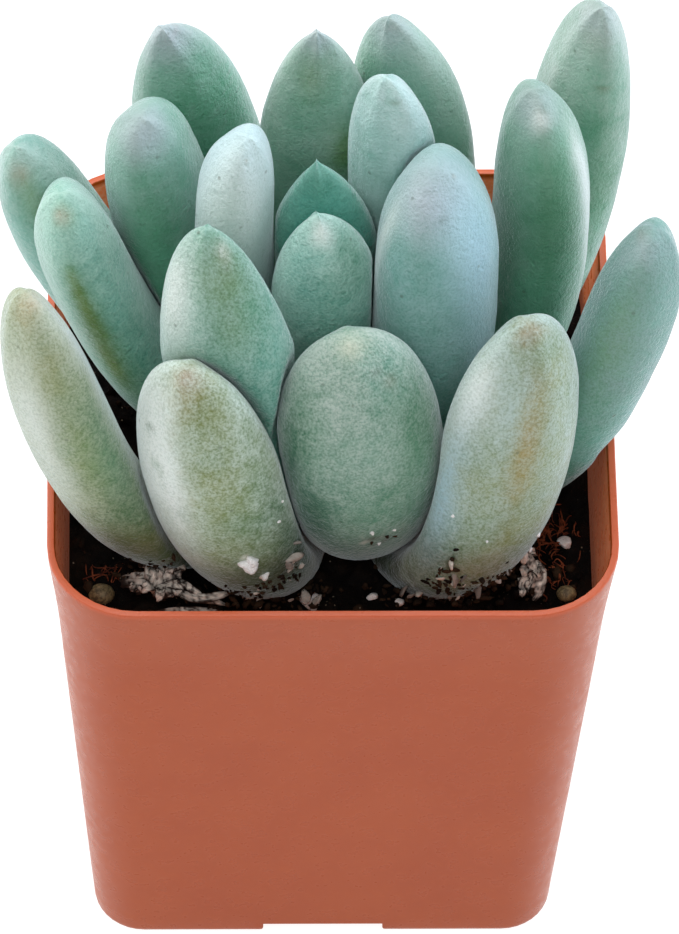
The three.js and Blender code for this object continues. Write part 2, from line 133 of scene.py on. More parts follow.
# What growth adds to a leaf's shape: how uneven its skin is, as a share of its thickness, with the
# distance from bump to bump and a seed, and a faint keel down each face towards the tip
UNEVENNESS = [(0.022, 9, 0), (0.008, 2.5, 40)]
KEEL = 0.4
KEEL_RISES = (0.62, 0.9)
KEEL_SPREAD = 0.3

# Heights between which the foot of a leaf is darkened with painted shade and loses its wax, and between
# which it turns dark grey-green: soil that watering has splashed on it, and painted shade near the soil
SHADED = (76, 61)
SPLASH_AND_SHADE_HEIGHTS = (65.5, 60)
SPLASH_AND_SHADE_TONE = "#2d392d"

# How long a leaf is for the streaks on its skin, which stretches them along it, and how far apart
# the streaks of two leaves are taken from, so that no two leaves have the same
STREAK_LENGTH = 14
STREAKS_APART = 30

# Where the grain of the wax shows most and least, as distances behind the pot's middle
SHARP_LEAVES = -14
SOFT_LEAVES = 8

# A leaf counts as one at the side where the cosine of its turn is more than this, either way
SIDE_LEAF = 0.8

# The tones of leaf tissue under its wax, as sRGB hex values
GREEN = "#66a98d"
TEAL = "#5fab9c"
OLIVE = "#8a9862"

# What a mark does to the skin: the tone it stains the tissue with, or None, and how much wax stays on it.
# Those in WAX_MARKS tint the wax as well. Marks of the dark green kind with little wax are painted shade on
# the lower sides of leaves.
MARKS = {
    "green": ("#568a68", 0.15),
    "teal": ("#529488", 0.2),
    "olive": ("#869052", 0.3),
    "moss": ("#7d9440", 0.1),
    "ochre": ("#a8935a", 0.25),
    "pink": ("#cf9686", 0.25),
    "cream": ("#efe9d6", 0.3),
    # Painted shade: dark green with little wax, on the shadowed lower sides of leaves
    "painted_shade": ("#2f5c49", 0.05),
    "dirt": ("#35301f", 0.0),
    "scar": ("#4a3c2f", 0.05),
    "brown": ("#8a6a50", 0.1),
    "chip": ("#f3f0e8", 0.0),
    "lilac": ("#bfc2ce", 0.75),
    # The blue and white marks are partly paler wax and partly painted highlights where the lights fall; the
    # small white ones near the tips are painted glints
    "blue": ("#bcdcec", 0.85),
    "white": ("#ffffff", 1.0),
    "thick": (None, 1.0),
    "rubbed": (None, 0.1),
}
WAX_MARKS = ("lilac", "blue", "cream", "white")

# One row for each leaf. Its place and shape are close to the CAD's: the side of the stem in degrees,
# the height of its root, the two points that steer its midline, its tip, its width, how long it
# stays wide and how pointed its tip is. Then come the tones of its tissue and its wax, how much wax
# covers it, and its marks: kind, length along the leaf, angle round it, reach along and round in
# millimetres, and strength. Where two leaves crowd each other, the one listed first keeps more of
# its shape.
Leaf = namedtuple(
    "Leaf", "name slot turn root knee shoulder tip width fullness point tissue wax cover marks")
LEAVES = [Leaf(*row) for row in [
    ("outer_leaf_front", "leaf_blue_green", 283, 60, (6, -20.5, 61.5), (2.2, -15, 83.5),
     (1.3, -13.2, 97.2), 18.9, 2.2, 0.5, "#5f917a", "#c3cfc8", 0.5, [
         ("cream", 0.985, 268, 1.0, 1.7, 0.6), ("thick", 0.88, 244, 8, 4.6, 0.5),
         ("green", 0.7, 312, 12, 4.4, 0.75), ("green", 0.82, 216, 7, 2.6, 0.6),
         ("painted_shade", 0.7, 206, 10, 2, 0.8), ("painted_shade", 0.54, 222, 6, 3, 0.9),
         ("painted_shade", 0.46, 312, 6, 3.2, 0.8), ("teal", 0.93, 304, 5, 4, 0.35),
         ("scar", 0.93, 290, 0.5, 0.8, 0.5), ("brown", 0.9, 300, 0.9, 0.9, 0.4),
         ("rubbed", 0.56, 268, 9, 9, 0.45), ("chip", 0.49, 262, 0.35, 0.3, 1),
         ("scar", 0.47, 266, 0.4, 1, 0.9), ("scar", 0.455, 275, 0.4, 0.6, 0.9),
         ("chip", 0.46, 259, 0.3, 0.4, 1), ("scar", 0.445, 270, 0.3, 0.7, 0.9)]),
    ("outer_leaf_front_left", "leaf_olive_bloom", 245, 57, (-8.6, -25, 55.5), (-13.6, -17.5, 78),
     (-16.6, -18, 97.4), 16.8, 2.7, 0.5, OLIVE, "#e0eae4", 0.42, [
         ("white", 0.83, 222, 15, 4.4, 1), ("olive", 0.95, 308, 4, 3, 0.95),
         ("olive", 0.87, 312, 8, 3.6, 0.95), ("olive", 0.72, 290, 10, 5, 0.8),
         ("pink", 0.992, 290, 1.6, 1.6, 0.7), ("ochre", 0.96, 284, 2.4, 2, 0.5),
         ("white", 0.86, 242, 9, 2.6, 1), ("white", 0.76, 260, 8, 1.9, 0.9),
         ("thick", 0.64, 276, 6, 1.6, 0.4), ("green", 0.79, 252, 2.4, 0.8, 0.5),
         ("green", 0.7, 266, 1.6, 0.7, 0.5), ("green", 0.74, 340, 6, 3, 0.5),
         ("painted_shade", 0.6, 312, 6, 4, 0.35), ("painted_shade", 0.57, 350, 9, 3.2, 0.7), ("painted_shade", 0.44, 0, 6, 5, 0.9),
         ("dirt", 0.46, 328, 3.4, 6, 0.75), ("scar", 0.885, 238, 0.5, 0.8, 0.6),
         ("green", 0.88, 236, 1.5, 1, 0.6), ("green", 0.81, 246, 1.2, 1.4, 0.6),
         ("rubbed", 0.66, 284, 6, 5, 0.5), ("chip", 0.565, 303, 0.5, 0.45, 1),
         ("chip", 0.56, 310, 0.4, 0.5, 1)]),
    ("outer_leaf_front_right", "leaf_olive_bloom", 305, 57, (16.8, -28, 55), (19.3, -12.6, 79),
     (20.8, -13.5, 99.4), 16.8, 2.8, 0.5, OLIVE, "#c6d4d0", 0.6, [
         ("white", 0.86, 190, 14, 2.2, 0.9), ("blue", 0.62, 190, 10, 2.2, 0.9),
         ("white", 0.8, 350, 18, 2, 0.8), ("pink", 0.99, 268, 1.4, 2.2, 0.85),
         ("ochre", 0.92, 256, 4, 2.2, 0.95), ("ochre", 0.79, 250, 7, 1.9, 0.95),
         ("ochre", 0.66, 250, 7, 1.6, 0.85), ("thick", 0.84, 228, 10, 1.2, 0.9),
         ("olive", 0.7, 208, 9, 2.6, 0.8), ("olive", 0.6, 262, 8, 4, 0.7),
         ("olive", 0.95, 282, 5, 2.4, 0.9), ("thick", 0.91, 238, 3, 1.5, 0.6),
         ("painted_shade", 0.48, 200, 5, 3, 0.5), ("scar", 0.48, 214, 1.8, 0.4, 0.9),
         ("scar", 0.45, 220, 0.5, 0.9, 0.9)]),
    ("outer_leaf_left", "leaf_olive_bloom", 215, 57, (-21.4, -19.3, 55), (-27.4, -17.8, 78),
     (-34.4, -12, 103), 13.4, 4, 0.5, "#7f8c55", "#c8cdb8", 0.42, [
         ("pink", 0.985, 2, 2.2, 2.2, 0.9), ("ochre", 0.93, 345, 4, 2.6, 0.8),
         ("olive", 0.86, 336, 6, 2.6, 0.8), ("olive", 0.7, 342, 8, 3.4, 0.8),
         ("thick", 0.91, 300, 7, 3, 0.7), ("ochre", 0.98, 314, 2.2, 1.8, 0.7),
         ("olive", 0.96, 28, 4, 3, 1), ("moss", 0.95, 20, 2.4, 2, 0.4),
         ("olive", 0.9, 350, 4, 2.6, 0.9), ("white", 0.83, 288, 7, 2.6, 0.55),
         ("white", 0.73, 294, 7, 2.4, 0.35), ("green", 0.8, 14, 6, 3, 0.6),
         ("thick", 0.7, 310, 5, 2, 0.3), ("green", 0.76, 318, 2, 1.6, 0.4),
         ("moss", 0.73, 338, 5, 2, 0.5), ("green", 0.7, 6, 7, 3, 0.8), ("painted_shade", 0.58, 352, 6, 5, 0.45),
         ("white", 0.88, 66, 12, 3, 0.9), ("blue", 0.8, 66, 8, 2, 0.4)]),
    ("inner_leaf_front_left", "leaf_blue_green", 255, 64, (-3.5, -24, 62), (-11.8, -12.5, 84),
     (-14.4, -7.8, 109), 16.3, 2.2, 0.55, TEAL, "#b4d0c8", 0.4, [
         ("white", 0.97, 314, 3.4, 0.8, 0.8), ("white", 0.9, 226, 12, 3, 0.8),
         ("thick", 0.8, 258, 8, 2.2, 0.9), ("green", 0.87, 336, 6, 3, 0.6),
         ("green", 0.93, 290, 7, 4, 0.55), ("olive", 0.95, 300, 4, 3, 0.6),
         ("olive", 0.85, 292, 6, 3, 0.55), ("teal", 0.7, 285, 9, 7, 1)]),
    ("inner_leaf_right", "leaf_pale_bloom", 345, 66, (12.5, -6, 66), (9.8, 2.8, 87.5),
     (10.6, 1, 108.2), 18.8, 3.6, 0.5, TEAL, "#a6c8ca", 0.55, [
         ("lilac", 0.98, 200, 4, 6, 0.9), ("blue", 0.84, 246, 16, 4.4, 1),
         ("teal", 0.84, 190, 12, 3, 0.4), ("thick", 0.66, 160, 10, 8, 0.7),
         ("white", 0.86, 120, 13, 1.6, 0.7), ("brown", 0.985, 272, 0.35, 0.35, 1),
         ("scar", 0.955, 216, 0.5, 0.8, 0.35), ("thick", 0.76, 242, 3, 0.25, 0.7),
         ("chip", 0.93, 290, 0.25, 0.25, 0.6)]),
    ("outer_leaf_right", "leaf_blue_green", 343, 58, (26, -12.5, 59), (30.7, -3.6, 80),
     (35.2, -1.9, 101.5), 13.6, 4, 0.5, TEAL, "#92aeac", 0.4, [
         ("brown", 0.985, 112, 0.6, 1.2, 0.7), ("olive", 0.8, 172, 13, 4, 0.5),
         ("lilac", 0.98, 150, 3, 3, 0.5), ("thick", 0.9, 128, 9, 2, 0.6),
         ("thick", 0.78, 212, 9, 2.6, 0.6)]),
    ("heart_leaf_front", "leaf_blue_green", 290, 72.5, (1.5, -2.5, 76), (-1.8, -1.5, 92),
     (-2, -1.2, 103), 12.6, 2, 0.75, TEAL, "#cdece6", 0.56, [
         ("green", 0.83, 304, 5, 3, 0.5), ("white", 0.95, 266, 5, 1.1, 0.7),
         ("teal", 0.82, 236, 6, 1.8, 0.5)]),
    ("middle_leaf_left", "leaf_blue_green", 185, 60, (-18.6, -1.5, 64), (-25.5, 1.5, 85.5),
     (-30.3, 0.8, 104.2), 12.8, 4.5, 0.5, TEAL, "#bfe0d6", 0.5, [
         ("olive", 0.985, 4, 2, 2, 0.5), ("thick", 0.92, 350, 3.4, 2, 0.6),
         ("moss", 0.85, 344, 3, 0.9, 0.8), ("moss", 0.77, 347, 7, 1.2, 1),
         ("moss", 0.63, 342, 8, 1.6, 0.9), ("pink", 0.985, 340, 1.2, 1.2, 0.5),
         ("thick", 0.88, 300, 9, 2.4, 0.6)]),
    ("inner_leaf_left", "leaf_pale_bloom", 160, 69, (-12, 2, 78), (-10.7, 5, 96.5),
     (-9.9, 3.4, 110.7), 11.6, 3.3, 0.52, TEAL, "#d8ecf0", 0.82, [
         ("blue", 0.92, 270, 9, 5, 0.7), ("white", 0.78, 20, 12, 6, 0.8),
         ("brown", 0.97, 40, 0.4, 0.3, 0.6)]),
    ("inner_leaf_back_right", "leaf_pale_bloom", 50, 67, (8.5, 8, 74), (6.8, 10.5, 98),
     (5.5, 11.4, 111.3), 11.6, 2.4, 0.6, TEAL, "#d0e6e8", 0.78, [
         ("brown", 0.95, 136, 0.3, 1, 0.5)]),
    ("middle_leaf_right", "leaf_deep_green", 15, 60, (26.5, 4.5, 62), (22.6, 11.5, 88),
     (22.1, 11.4, 109.2), 14.6, 3, 0.52, GREEN, "#a2c0b2", 0.22, [
         ("thick", 0.97, 138, 3, 3, 0.6), ("green", 0.78, 184, 14, 6, 0.8),
         ("lilac", 0.985, 120, 3, 4, 0.6), ("thick", 0.88, 120, 8, 2, 0.5),
         ("white", 0.8, 236, 18, 1.7, 0.8), ("white", 0.975, 168, 1.6, 1.1, 0.6),
         ("painted_shade", 0.985, 186, 0.6, 0.9, 0.5)]),
    ("middle_leaf_back_left", "leaf_deep_green", 155, 62, (-14.5, 5.5, 66), (-18.3, 13.5, 88.5),
     (-21.6, 9.4, 106.8), 14.4, 3.2, 0.5, GREEN, "#bcd4d0", 0.17, [
         ("green", 0.82, 32, 8, 5, 0.4), ("thick", 0.86, 338, 12, 2, 0.8),
         ("lilac", 0.985, 60, 3.4, 4, 0.7)]),
    ("outer_leaf_back_left", "leaf_blue_green", 158, 58, (-19, 9, 60), (-29.4, 11, 82.5),
     (-35.4, 9.6, 101.5), 12.6, 3.4, 0.55, TEAL, "#c6dcd8", 0.4, [
         ("pink", 0.97, 42, 1.8, 1.6, 0.6), ("olive", 0.9, 46, 5, 2, 0.7)]),
    ("outer_leaf_back_right", "leaf_deep_green", 25, 58, (26.5, 10.5, 60), (26.9, 28.5, 84),
     (29.8, 22, 110.6), 14.8, 2.2, 0.58, GREEN, "#cedad4", 0.4, [
         ("olive", 0.96, 118, 3, 2, 0.6), ("brown", 0.88, 164, 0.4, 1, 0.6),
         ("green", 0.68, 186, 10, 5, 0.7), ("lilac", 0.985, 110, 4, 4, 0.5)]),
    ("heart_leaf_back", "leaf_deep_green", 93, 72.5, (-0.5, 5, 77), (-1, 6, 93),
     (-2.1, 4, 105.8), 12, 1.5, 1, TEAL, "#a6dccf", 0.2, [
         ("thick", 0.98, 90, 1.5, 2, 0.6)]),
    ("upper_leaf_back", "leaf_deep_green", 92, 58, (-0.5, 16, 62), (-1.6, 22.8, 90),
     (-1.9, 19.4, 109.5), 13.8, 2, 0.8, GREEN, "#cfe0d8", 0.4, [
         ("olive", 0.9, 80, 4, 2, 0.6), ("moss", 0.72, 114, 4, 2.2, 0.7),
         ("thick", 0.76, 96, 3, 2, 0.35), ("lilac", 0.99, 90, 2.4, 4, 0.6)]),
    ("upper_leaf_back_right", "leaf_deep_green", 60, 58, (12, 17.5, 62), (10.2, 24.5, 88),
     (6.2, 23.6, 107), 15, 2.2, 0.7, GREEN, "#bcd2ca", 0.34, [
         ("thick", 0.9, 170, 7, 2.4, 0.5), ("brown", 0.985, 100, 0.3, 1.2, 0.6),
         ("lilac", 0.98, 80, 3.4, 4, 0.6)]),
    ("upper_leaf_back_left", "leaf_deep_green", 125, 58, (-11, 19, 62), (-14.6, 25.5, 88),
     (-19, 22, 107), 15, 2.2, 0.7, GREEN, "#c4d4d2", 0.24, [
         ("green", 0.85, 88, 9, 5, 0.4), ("brown", 0.98, 134, 0.4, 1.4, 0.7),
         ("lilac", 0.985, 90, 3.4, 4, 0.7)]),
]]

# Withered leaves: the CAD node each stands for, its single blades, and its tufts. A blade has the
# four points that steer its midline, its width, and how far its sides curl up. A tuft is a ring of
# shrivelled blades round a place: the place, how far they spread, how high they stand, how many there
# are, and how wide they are.
WITHERED = [
    ("withered_leaf_left", [
        ([(-23.6, -19.6, 59.6), (-21.4, -20.4, 61), (-19, -20.8, 60.8), (-17, -21.2, 59.6)], 2.4, 0.5)],
     [((-19.2, -21.2, 59.4), 1.7, 2.3, 9, 1.7), ((-21.6, -20.6, 59.3), 1.0, 1.7, 6, 1.3),
      ((-17.8, -19, 59.9), 1.1, 2.0, 6, 1.3), ((-20, -18.8, 60), 1.2, 2.0, 6, 1.4)]),
    ("withered_leaf_left_long", [
        ([(-20, -23.6, 59.2), (-17.4, -24.2, 60.6), (-15.4, -24.2, 60.4), (-12.6, -23.4, 59.4)], 0.9, 0.4),
        ([(-18, -21, 61), (-16.4, -23.6, 61.2), (-14.6, -24, 61.8), (-11.2, -22.4, 61.6)], 1.25, 0.1),
        ([(-17.2, -20.2, 61), (-16.6, -21.6, 62), (-15.6, -22.4, 61.6), (-14.4, -22.6, 61.2)], 0.9, 0.3),
        ([(-15.8, -22.2, 59.8), (-14.6, -22.9, 60.4), (-13, -22.6, 60.4), (-11.9, -23.2, 60.2)], 0.8, 0.2)],
     []),
    ("withered_leaf_right", [
        ([(21.6, -17.6, 60), (23.4, -19, 62.2), (24, -20.4, 61), (22.9, -22, 59.3)], 1.7, 0.6),
        ([(20.7, -17.4, 62), (21.8, -18, 63.4), (22.9, -19.2, 62.4), (22.7, -20.8, 60.2)], 1.2, 0.5)],
     [((22.6, -19.2, 59.6), 1.1, 2.2, 6, 1.3), ((21.6, -21, 59.2), 1.0, 1.7, 5, 1.1),
      ((22, -17.4, 60.4), 0.8, 1.8, 4, 1.1)]),
]

# Bits that watering has left on each leaf: length along it, angle, size and kind
STUCK_BITS = {
    "outer_leaf_front_left": [
        (0.545, 303, 0.95, "perlite"), (0.55, 312, 0.75, "perlite"), (0.48, 315, 0.65, "perlite"),
        (0.475, 335, 0.9, "dead"), (0.49, 345, 1.0, "dead"), (0.52, 352, 0.7, "dead"),
        (0.47, 350, 0.7, "crumb"), (0.46, 325, 0.45, "crumb"), (0.62, 345, 0.22, "perlite"),
        (0.66, 352, 0.2, "perlite")],
    "outer_leaf_front": [
        (0.5, 262, 0.28, "perlite"), (0.47, 274, 0.4, "crumb"), (0.46, 266, 0.3, "crumb"),
        (0.455, 284, 0.32, "crumb"), (0.44, 270, 0.25, "perlite"), (0.48, 282, 0.2, "perlite")],
    "outer_leaf_front_right": [
        (0.51, 212, 0.35, "crumb"), (0.49, 214, 0.5, "crumb"), (0.47, 216, 0.6, "dead"),
        (0.455, 222, 0.7, "crumb"), (0.44, 232, 0.7, "dead"), (0.44, 246, 0.6, "crumb"),
        (0.53, 290, 0.45, "perlite"), (0.55, 238, 0.2, "perlite"), (0.48, 262, 0.25, "crumb"),
        (0.46, 292, 0.7, "dead"), (0.6, 205, 0.2, "perlite"), (0.47, 300, 0.3, "perlite")],
}

# Where watering has splashed crumbs over the feet: leaf, least and greatest length along it, least
# and greatest angle, number, size and kind
SPLASHES = [
    ("outer_leaf_front_left", (0.39, 0.47), (262, 350), 70, 0.4, "crumb"),
    ("outer_leaf_front_left", (0.41, 0.5), (300, 352), 7, 0.55, "dead"),
    ("outer_leaf_front_right", (0.37, 0.455), (205, 320), 110, 0.45, "crumb"),
    ("outer_leaf_front_right", (0.39, 0.46), (205, 300), 12, 0.7, "dead"),
    ("outer_leaf_left", (0.38, 0.45), (290, 350), 24, 0.4, "crumb"),
]

# Litter that lies against the feet of the front leaves: place, spread in x and y, height, how many
# pieces, their size and kind
LITTER = [
    ((13.5, -22.3), (3.6, 0.5), 60.3, 46, 0.62, "crumb"),
    ((12, -22.4), (3.2, 0.4), 60.9, 6, 0.8, "dead"),
    ((19.5, -20.4), (1.6, 0.9), 60.2, 20, 0.6, "crumb"),
    ((-9, -23), (3.6, 0.4), 59.9, 30, 0.6, "crumb"),
    ((-7.4, -22.8), (2.6, 0.4), 60.4, 5, 0.8, "dead"),
    ((-2.6, -21.2), (1.3, 0.9), 60.0, 22, 0.65, "crumb"),
    ((-3.6, -20.2), (0.9, 0.7), 61.0, 8, 0.6, "crumb"),
    ((7.6, -21.4), (1.6, 0.8), 59.8, 16, 0.5, "crumb"),
    ((-22.8, -18.4), (2.2, 0.8), 59.8, 16, 0.5, "crumb"),
    ((-14.2, -21.6), (1.6, 0.8), 60.1, 18, 0.55, "crumb"),
]

# Grains half sunk in the soil, close to the CAD's: node, kind, place and size
GRAINS = [
    ("perlite_grain_1", "perlite", (-2.4, -21.3), 1.1),
    ("perlite_grain_2", "perlite", (7.6, -21.9), 0.5),
    ("perlite_grain_3", "perlite", (4.6, -20.6), 0.5),
    ("perlite_grain_4", "perlite", (26.6, -13.5), 0.75),
    ("perlite_grain_5", "perlite", (-26, 25.2), 0.8),
    ("perlite_grain_6", "perlite", (25.8, 25.6), 0.85),
    ("pebble_left", "pebble", (-25.9, -20.2), 1.5),
    ("pebble_right", "pebble", (26.6, -20.6), 1.2),
]
GRAIN_FLATTENING = (1, 0.85, 0.75)

# Loose crumbs: how far they keep from the wall, the corners that they leave out, and how far they
# reach into them
CRUMB_INSET = 2.4
CRUMB_CORNER = 7
CRUMB_CORNER_REACH = 6.4

# Root fibres: the place of a bundle, how many threads it has, and how far they spread
FIBRES = [((24.8, -12.6), 60, 1.9), ((-25.6, -17.6), 16, 1.1), ((25.4, -19), 14, 1.2)]
FIBRE_LIMIT = 28.4

# How rugged small lumps are, as a share of their radius, how a bit of each kind is flattened, and how
# many divisions its ball has
RUGGEDNESS = 0.6
BIT_FORMS = {"perlite": ((1, 0.9, 0.8), 8), "crumb": ((1.2, 0.6, 0.5), 4), "dead": ((1.3, 0.35, 0.7), 8)}

# The studio: half the floor's side and its level, and the lights with their places, the sizes of
# their panels in millimetres, their power in watts and their colours. All aim at the plant's middle.
FLOOR_HALF = 2500
FLOOR_LEVEL = -0.05
LIGHT_AIM = (0, 0, 70)
LIGHTS = [
    ("left_window", (-500, 190, 250), 420, 1.7, "#ffffff"),
    ("right_window", (500, 210, 250), 420, 2.7, "#e2edff"),
    ("top_panel", (-60, 300, 660), 520, 3.0, "#ffffff"),
    ("front_panel", (-60, -420, 660), 420, 1.3, "#ffffff"),
]

# The camera in millimetres and degrees, worked out from the pot's edges in the photo
CAMERA_AIM = (1.35, 0, 55.2)
CAMERA_YAW = -2.42
CAMERA_ELEVATION = 52.91
CAMERA_ROLL = 1.86
CAMERA_DISTANCE = 1000
CAMERA_LENS = 336.6
CAMERA_SENSOR = 36

# A millimetre in metres, the unit that Blender works in
MM = 0.001


def to_linear(code):
    """An sRGB hex value as a linear colour with full alpha."""
    values = [int(code[k:k + 2], 16) / 255 for k in (1, 3, 5)]
    return (*[v / 12.92 if v <= 0.04045 else ((v + 0.055) / 1.055) ** 2.4 for v in values], 1.0)


def hashed(cells, seed):
    """A value from 0 to 1 for each whole-number cell: the fraction of a large sine of its sum."""
    mix = cells @ np.array([127.1, 311.7, 74.7]) + 19.19 * seed
    return np.mod(np.sin(mix) * 43758.5453, 1.0)


def grain(points, size, seed):
    """Smooth value noise from 0 to 1. The values of a cell's eight corners are blended by the
    smooth step 3t^2 - 2t^3 along each axis."""
    scaled = points / size
    low = np.floor(scaled)
    part = scaled - low
    part = part * part * (3 - 2 * part)
    total = np.zeros(points.shape[:-1])
    for corner in np.ndindex(2, 2, 2):
        near = np.where(np.array(corner) == 1, part, 1 - part)
        total += near.prod(axis=-1) * hashed(low + corner, seed)
    return total


def rough(points, size, seed, octaves=3):
    """Noise from -1 to 1: octaves of value noise, each half as large and half as strong."""
    total = np.zeros(points.shape[:-1])
    for k in range(octaves):
        total += (2 * grain(points, size / 2 ** k, seed + k) - 1) / 2 ** k
    return total / (2 - 2 ** (1 - octaves))


def unit(vectors):
    return vectors / np.linalg.norm(vectors, axis=-1, keepdims=True)


def between(low, high, values):
    """0 below low, 1 above high, and a smooth step between them."""
    t = np.clip((values - low) / (high - low), 0, 1)
    return t * t * (3 - 2 * t)


def closed_surface(rings, first, last):
    """A closed surface through rings of points, with a point closing each end. The faces are quads
    between the rings and triangles at the ends. The rings run anticlockwise seen from the last."""
    count, around = rings.shape[:2]
    points = np.concatenate([rings.reshape(-1, 3), [first, last]])
    here = np.arange(around)
    following = (here + 1) % around
    low = np.arange(count - 1)[:, None] * around
    quads = np.stack([low + here, low + following, low + around + following, low + around + here], -1)
    top = (count - 1) * around
    start = np.stack([np.full(around, count * around), following, here], -1)
    end = np.stack([np.full(around, count * around + 1), top + here, top + following], -1)
    return points, quads.reshape(-1, 4).tolist() + start.tolist() + end.tolist()


def joined(parts):
    """Several surfaces as one: the points one after another, and the faces counted on."""
    points = []
    faces = []
    total = 0
    for part_points, part_faces in parts:
        points.append(part_points)
        faces += [[index + total for index in face] for face in part_faces]
        total += len(part_points)
    return np.concatenate(points), faces


def new_object(name, points, faces, material):
    """An object at the origin from points in millimetres, with smooth faces and one material."""
    mesh = bpy.data.meshes.new(name)
    mesh.from_pydata((points * MM).tolist(), [], faces)
    mesh.polygons.foreach_set("use_smooth", np.ones(len(mesh.polygons), bool))
    mesh.materials.append(material)
    mesh.update()
    made = bpy.data.objects.new(name, mesh)
    bpy.context.scene.collection.objects.link(made)
    return made


VALUE_KINDS = {1: ("FLOAT", "value"), 3: ("FLOAT_VECTOR", "vector"), 4: ("FLOAT_COLOR", "color")}


def add_values(made, name, values):
    """Puts one value, vector or colour for each point into a named attribute of a piece."""
    kind, field = VALUE_KINDS[1 if values.ndim == 1 else values.shape[1]]
    attribute = made.data.attributes.new(name, kind, "POINT")
    attribute.data.foreach_set(field, values.astype(np.float32).ravel())


def node(tree, kind, inputs, output=0, **settings):
    """Adds a shader node with its settings, links or fills its inputs, and gives one of its outputs.
    Sockets that share a name, those of Math and the colours of Mix, are given by their number."""
    added = tree.nodes.new("ShaderNode" + kind)
    for name, value in settings.items():
        setattr(added, name, value)
    for key, value in inputs.items():
        if isinstance(value, bpy.types.NodeSocket):
            tree.links.new(value, added.inputs[key])
        else:
            added.inputs[key].default_value = value
    return added.outputs[output] if added.outputs else None


def new_material(name):
    """A material without nodes, and its node tree."""
    material = bpy.data.materials.new(name)
    material.use_nodes = True
    material.node_tree.nodes.clear()
    return material, material.node_tree


def finished(material, inputs):
    """The material with its shader, filled in with its inputs."""
    shader = node(material.node_tree, "BsdfPrincipled", inputs)
    node(material.node_tree, "OutputMaterial", {"Surface": shader})
    return material


def per_metre(size):
    """The scale of a pattern whose grains are about a size in millimetres."""
    return 1 / (size * MM)


def stained(tree, colour, tone, pattern, low=0.0, high=1.0, strength=1.0):
    """A colour that turns to a tone, as far as a strength, where a pattern passes from low to high."""
    share = node(tree, "MapRange", {"Value": pattern, "From Min": low, "From Max": high, "To Max": strength})
    return node(tree, "Mix", {0: share, 6: colour, 7: to_linear(tone)}, 2, data_type="RGBA")


